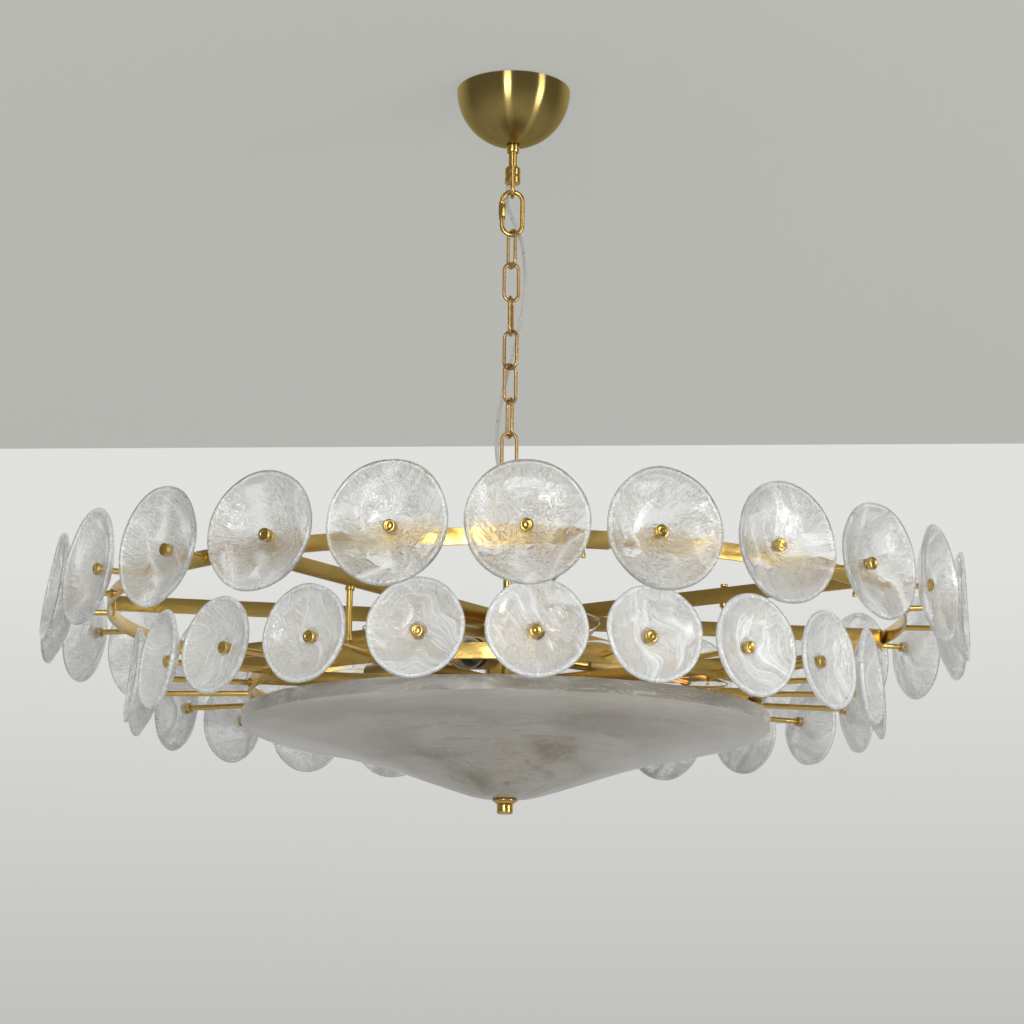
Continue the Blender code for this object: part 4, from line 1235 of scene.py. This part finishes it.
def add_lamp(settings, at, start, parts):
    end = start + settings.sleeve_length
    radius = settings.sleeve_radius
    arm = 0.006
    parts["arms"].lathe(rod_profile(arm, LAMP_HUB_RADIUS - 0.002, start + 0.001, 0.0006), 28, at)
    cup = [(arm, start), (radius * 0.8, start + 0.0005), (radius, start + 0.004), (radius, end)]
    cup += [(radius * 0.93, end), (radius * 0.93, start + 0.005), (arm, start + 0.005)]
    parts["sleeves"].lathe(eased(cup, 0.0007, loop=True), 48, at, loop=True)
    inside, bore = radius * 0.9, 0.0085
    ring = [(bore, end - 0.02), (inside, end - 0.02), (inside, end + 0.0012), (inside * 0.9, end + 0.002)]
    ring += [(0.0125, end + 0.002), (0.0118, end - 0.004), (bore, end - 0.012)]
    parts["sockets"].lathe(eased(ring, 0.0004, loop=True), 40, at, loop=True)
    parts["bulbs"].lathe(bulb_profile(settings, end), 32, at, loop=True)
    post = end + 0.022
    parts["filaments"].lathe(rod_profile(0.0011, end, post, 0.0003), 10, at)
    wire = []
    for k in range(25):
        turn = tau * k / 24
        height = post + 0.002 + 0.020 * (0.5 - 0.5 * cos(6 * turn))
        wire.append(at @ Vector((0.0045 * cos(turn), 0.0045 * sin(turn), height)))
    parts["filaments"].sweep(wire, circle(0.00022, 6))


# Shares of the dish's radius, and how far down the depth its outer face is there
DISH_OUTLINE_SHARES = ((0.96, 0.075), (0.86, 0.17), (0.7, 0.30), (0.5, 0.50), (0.3, 0.755), (0.13, 0.965))


def dish_profile(settings, low, high):
    """The bowl's section up and over the lip, down the outside, back up inside. Also the rows at its lip."""
    radius, top, bottom = high.x, high.z, low.z
    wall = settings.wall
    lip_bottom = top - settings.lip
    hole = 0.0061
    outer = [(radius, lip_bottom), *scaled(DISH_OUTLINE_SHARES, radius, lip_bottom, bottom - lip_bottom)]
    outer += [(0.0145, bottom), (hole, bottom)]
    outer = [tuple(p) for p in smooth(outer, 4)]
    lip = [(radius - 0.0008, top - 0.0004), (radius, top - 0.003), (radius - 0.0002, top - 0.009)]
    inner = [(r, h + wall) for r, h in outer[::-1] if r < radius - wall * 1.1]
    inner = [(r - wall * 0.25 if r > radius * 0.9 else r, h) for r, h in inner]
    inner_lip = [(radius - wall, lip_bottom + wall * 0.7), (radius - wall, top - 0.003)]
    inner_lip += [(radius - wall * 0.75, top - 0.0003)]
    profile = lip + outer + inner + inner_lip
    return profile, [*range(len(lip)), *range(len(profile) - len(inner_lip), len(profile))]


def make_bowl(settings):
    """The shallow cloudy dish with its upright lip, slightly wavy and out of round."""
    low, high = corners("glass_dish")
    top, lip_bottom = high.z, high.z - settings.lip
    profile, lip_rows = dish_profile(settings, low, high)
    sides = 160
    rows = []
    for r, z in profile:
        row = []
        for j in range(sides):
            t = tau * j / sides
            spot = Vector((r * sin(t), -r * cos(t), z))
            wave = noise.noise(spot * 16) * 0.0012 * min(1, r / 0.1) if z < lip_bottom else 0
            edge = 0.0007 * noise.noise(spot * 60) if z > lip_bottom + 0.003 else 0.0
            out = 1 - 0.0012 * abs(sin(5 * t + 1.0))
            row.append(Vector((spot.x * out, spot.y * out, min(z + edge + wave, top))))
        rows.append(row)
    shape = Shape()
    shape.grid(rows, loop=True)
    for row in lip_rows:
        shape.slots[row * sides:(row + 1) * sides] = [1] * sides
    finishes = [FINISHES["dish"], FINISHES["dish_lip"]]
    obj = shape.piece("glass_dish_bowl", finishes, "dish", smooth_below=radians(60))
    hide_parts("glass_dish")


def make_dish_fittings():
    """The flange under the dish, the finial and the rod that holds them."""
    bore = corners("dish_rod")[1].x + GAP
    shares = ((0.92, 1.0), (1.0, 0.75), (1.0, 0.5), (0.8, 0.34), (0.72, 0.0))
    bored_piece("dish_flange", shares, bore, 0.0006, 64, "dish", "dish_seat")
    low, high = corners("finial")
    shares = ((0.7, 0.0), (0.9, 0.06), (1.0, 0.2), (1.0, 0.86), (0.94, 0.97), (0.86, 1.0))
    floor = low.z + 0.0016
    outline = [(GAP, low.z), *scaled(shares, high.x, low.z, high.z - low.z)]
    outline += [(bore, high.z), (bore, floor), (GAP, floor)]
    turned_piece("finial_cap", eased(outline, 0.0006), 56, "finial", "finial")
    plain_rod("dish_tie_rod", 0.0004, 32, "dish_rod")


def flat_sheet(name, corners_of, material):
    mesh = bpy.data.meshes.new(name)
    mesh.from_pydata(corners_of, [], [(0, 1, 2, 3)])
    mesh.materials.append(material)
    obj = add_object(name, mesh)
    return obj


def one_sided(name, **values):
    """Matt paint that is seen from one side only, so that no view is blocked."""
    look = {"Roughness": 0.9, "Specular_IOR_Level": 0.1, **values}
    material, tree, shader = new_material(name, "stage", **look)
    clear = add_node(tree, "BsdfTransparent")["BSDF"]
    facing = add_node(tree, "NewGeometry")["Backfacing"]
    sides = {"Fac": facing, 1: shader.outputs["BSDF"], 2: clear}
    joined = add_node(tree, "MixShader", sides)["Shader"]
    tree.links.new(joined, tree.nodes["Material Output"].inputs["Surface"])
    return material


def make_room(settings):
    """A plain pale floor, and the ceiling as far as the wall."""
    half = 6.0
    depth = -settings.floor_depth
    floor = new_material("floor_paint", "stage", Roughness=0.85, Base_Color=settings.floor)[0]
    around_floor = ((-half, -half), (half, -half), (half, half), (-half, half))
    flat_sheet("floor", [(x, y, depth) for x, y in around_floor], floor)
    wall = settings.wall_distance
    lean = CEILING_LINE_LEAN * half
    over_bracket = 0.0006
    around_ceiling = ((-half, -half), (-half, wall - lean), (half, wall + lean), (half, -half))
    look = {"Base_Color": settings.ceiling, "Emission_Color": settings.ceiling_glow, "Emission_Strength": 1.0}
    paint = one_sided("ceiling_paint", **look)
    ceiling = flat_sheet("ceiling", [(x, y, over_bracket) for x, y in around_ceiling], paint)
    ceiling.visible_shadow = False
    ceiling.visible_diffuse = False
    ceiling.visible_glossy = False


# How far the wall's line runs forward for each metre to the right
CEILING_LINE_LEAN = -0.083
DAYLIGHT = (1.0, 0.985, 0.96)


def paint_world(settings):
    """A pale wall with painted shade that darkens it downwards, dimmer behind the camera, and even light on
    matt surfaces.
    """
    world = bpy.data.worlds.new("room")
    bpy.context.scene.world = world
    world.use_nodes = True
    tree = world.node_tree
    tree.nodes.clear()
    parts = add_node(tree, "SeparateXYZ", {"Vector": add_node(tree, "TexCoord")["Generated"]})
    high, low = tuple(settings.wall_high), tuple(settings.wall_low)
    # Painted shade: the wall darkens downwards, and more under the horizon
    under, lower = (tuple(share * c for c in low) for share in (0.8, 0.85))
    stops = ((0.0, under), (0.42, lower), (0.512, low), (0.60, high), (1.0, high))
    wall = ramp(tree, stops, times_add(tree, parts["Z"], 0.5, 0.5))
    behind = ramp(tree, ((0.60, 1.0), (0.84, 0.0)), times_add(tree, parts["Y"], 0.5, 0.5))
    seen = add_node(tree, "Background", {"Color": mix_colour(tree, behind, wall, settings.room)})
    even = add_node(tree, "Background", {"Color": DAYLIGHT, "Strength": settings.ambient})
    rays = add_node(tree, "LightPath")
    shows = maths(tree, "ADD", rays["Is Camera Ray"], rays["Is Glossy Ray"])
    shows = maths(tree, "ADD", shows, rays["Is Transmission Ray"])
    both = {"Fac": maths(tree, "MINIMUM", shows, 1.0), 1: even["Background"], 2: seen["Background"]}
    add_node(tree, "OutputWorld", {"Surface": add_node(tree, "MixShader", both)["Shader"]})


def soft_box(name, azimuth, distance, height, width, tall, power, aim=-0.5):
    """A tall soft light that faces the chandelier."""
    data = bpy.data.lights.new(name, "AREA")
    data.shape = "RECTANGLE"
    data.size = width
    data.size_y = tall
    data.energy = power
    data.color = DAYLIGHT
    obj = add_object(name, data)
    place = Vector((distance * sin(azimuth), -distance * cos(azimuth), height))
    obj.location = place
    obj.rotation_euler = (Vector((0, 0, aim)) - place).to_track_quat("-Z", "Y").to_euler()


def make_lights(settings):
    """Two windows, each a bright soft box with a fainter one above it that upright metal reflects."""
    soft_box("window_light", radians(-13), 3.4, -0.55, 0.75, 1.3, settings.window_power)
    soft_box("window_upper", radians(-13), 3.4, 0.80, 0.75, 1.4, settings.window_power * 0.36, 0.3)
    soft_box("right_light", radians(57), 2.9, -0.9, 0.62, 1.3, settings.side_power)
    soft_box("right_upper", radians(57), 2.9, 0.55, 0.62, 1.6, settings.side_power * 0.45, 0.3)


CAMERA_PLACE = (-0.0315, -2.6843, -1.0959)
CAMERA_LENS = 89.494
# Yaw, tilt and roll in degrees
CAMERA_TURNS = (-0.7535, 12.8315, 0.6935)


def make_camera():
    """The photograph's place and lens, for a square frame of 1024 by 1024."""
    data = bpy.data.cameras.new("camera")
    data.sensor_width = 36.0
    data.lens = CAMERA_LENS
    obj = add_object("camera", data)
    yaw, tilt, roll = (radians(turn) for turn in CAMERA_TURNS)
    turned = Matrix.Rotation(yaw, 4, "Z") @ Matrix.Rotation(pi / 2 + tilt, 4, "X")
    obj.matrix_world = Matrix.Translation(CAMERA_PLACE) @ turned @ Matrix.Rotation(roll, 4, "Z")
    bpy.context.scene.camera = obj


class PieceOperator(bpy.types.Operator):
    """Shared options of the operators below"""

    bl_options = {"REGISTER", "UNDO"}


class CHANDELIER_OT_camera(PieceOperator):
    """Place the camera where the photograph was taken"""

    bl_idname = "chandelier.camera"
    bl_label = "Camera"

    def execute(self, context):
        make_camera()
        return {"FINISHED"}


class CHANDELIER_OT_finishes(PieceOperator):
    """Mix the metals, the glass and the plastic"""

    bl_idname = "chandelier.finishes"
    bl_label = "Finishes"

    def execute(self, context):
        make_materials(context.scene)
        return {"FINISHED"}


class CHANDELIER_OT_cord(PieceOperator):
    """Lay the clear supply cord round the chain"""

    bl_idname = "chandelier.cord"
    bl_label = "Supply cord"

    def execute(self, context):
        make_cord(context.scene.chandelier_hanging)
        return {"FINISHED"}


class CHANDELIER_OT_canopy(PieceOperator):
    """Spin the canopy and make its collar, its tube and the ceiling bracket"""

    bl_idname = "chandelier.canopy"
    bl_label = "Canopy"

    def execute(self, context):
        make_ceiling_pieces()
        make_canopy(context.scene.chandelier_hanging)
        return {"FINISHED"}


class CHANDELIER_OT_chain(PieceOperator):
    """Bend the loops, the quick link with its sleeve, and the seven links"""

    bl_idname = "chandelier.chain"
    bl_label = "Chain"

    def execute(self, context):
        settings = context.scene.chandelier_hanging
        make_loop(settings, "ceiling_loop", radians(90), "ceiling", hangs=True)
        make_quick_link(settings)
        make_chain(settings)
        make_loop(settings, "fixture_loop", LINK_FIRST_TURN + LINK_COUNT * LINK_TWIST, "fixture", hangs=False)
        return {"FINISHED"}


class CHANDELIER_OT_frame(PieceOperator):
    """Build the stem, the bands, the spokes and the hanger rods"""

    bl_idname = "chandelier.frame"
    bl_label = "Frame"

    def execute(self, context):
        make_stem()
        make_frame()
        return {"FINISHED"}


class CHANDELIER_OT_upper_tier(PieceOperator):
    """Make the upper rods and caps and blow the upper discs"""

    bl_idname = "chandelier.upper_tier"
    bl_label = "Upper tier"

    def execute(self, context):
        settings, glass = context.scene.chandelier_tiers, context.scene.chandelier_glass
        discs = UPPER_COUNT, UPPER_FIRST, UPPER_Z
        make_rods("upper_rods", settings, *discs, UPPER_RING, UPPER_BACK_FACE, 0.0063)
        make_discs(glass, "upper_glass", *discs, UPPER_BACK_FACE, glass.upper_radius,
                   glass.upper_depth, UPPER_FRONT_SHARES, 0.35, "upper_disc")
        return {"FINISHED"}


class CHANDELIER_OT_lower_tier(PieceOperator):
    """Make the lower rods and caps and blow the lower discs"""

    bl_idname = "chandelier.lower_tier"
    bl_label = "Lower tier"

    def execute(self, context):
        settings, glass = context.scene.chandelier_tiers, context.scene.chandelier_glass
        discs = LOWER_COUNT, LOWER_FIRST, LOWER_Z
        make_rods("lower_rods", settings, *discs, LOWER_RING, LOWER_BACK_FACE, 0.0052)
        make_discs(glass, "lower_glass", *discs, LOWER_BACK_FACE, glass.lower_radius,
                   glass.lower_depth, LOWER_FRONT_SHARES, 0.48)
        return {"FINISHED"}


class CHANDELIER_OT_lamps(PieceOperator):
    """Make the lamp hub, the sleeves and the bulbs"""

    bl_idname = "chandelier.lamps"
    bl_label = "Lamps"

    def execute(self, context):
        make_lamps(context.scene.chandelier_lamps)
        return {"FINISHED"}


class CHANDELIER_OT_dish(PieceOperator):
    """Make the glass dish with its flange, rod and finial"""

    bl_idname = "chandelier.dish"
    bl_label = "Dish"

    def execute(self, context):
        make_bowl(context.scene.chandelier_dish)
        make_dish_fittings()
        return {"FINISHED"}


class CHANDELIER_OT_stage(PieceOperator):
    """Set the floor, the ceiling, the wall and the lights"""

    bl_idname = "chandelier.stage"
    bl_label = "Stage"

    def execute(self, context):
        settings = context.scene.chandelier_stage
        make_room(settings)
        paint_world(settings)
        make_lights(settings)
        context.scene.view_settings.view_transform = "Standard"
        context.scene.cycles.transparent_max_bounces = 32
        context.scene.cycles.transmission_bounces = 20
        return {"FINISHED"}


PIECE_OPERATORS = (
    CHANDELIER_OT_camera,
    CHANDELIER_OT_finishes,
    CHANDELIER_OT_cord,
    CHANDELIER_OT_canopy,
    CHANDELIER_OT_chain,
    CHANDELIER_OT_frame,
    CHANDELIER_OT_upper_tier,
    CHANDELIER_OT_lower_tier,
    CHANDELIER_OT_lamps,
    CHANDELIER_OT_dish,
    CHANDELIER_OT_stage,
)


class CHANDELIER_PT_panel(bpy.types.Panel):
    """Lists the steps in the order in which they run"""

    bl_idname = "CHANDELIER_PT_panel"
    bl_label = "Glass Disc Chandelier"
    bl_space_type = "VIEW_3D"
    bl_region_type = "UI"
    bl_category = "Chandelier"

    def draw(self, context):
        for step in PIECE_OPERATORS:
            self.layout.operator(step.bl_idname)


def register():
    for settings in SETTINGS.values():
        bpy.utils.register_class(settings)
    for name, settings in SETTINGS.items():
        setattr(bpy.types.Scene, name, PointerProperty(type=settings))
    for item in (*PIECE_OPERATORS, CHANDELIER_PT_panel):
        bpy.utils.register_class(item)


def unregister():
    for item in reversed((*PIECE_OPERATORS, CHANDELIER_PT_panel)):
        bpy.utils.unregister_class(item)
    for name in SETTINGS:
        delattr(bpy.types.Scene, name)
    for settings in reversed(list(SETTINGS.values())):
        bpy.utils.unregister_class(settings)


def main():
    register()
    for step in PIECE_OPERATORS:
        group, name = step.bl_idname.split(".")
        getattr(getattr(bpy.ops, group), name)()


if __name__ == "__main__":
    main()
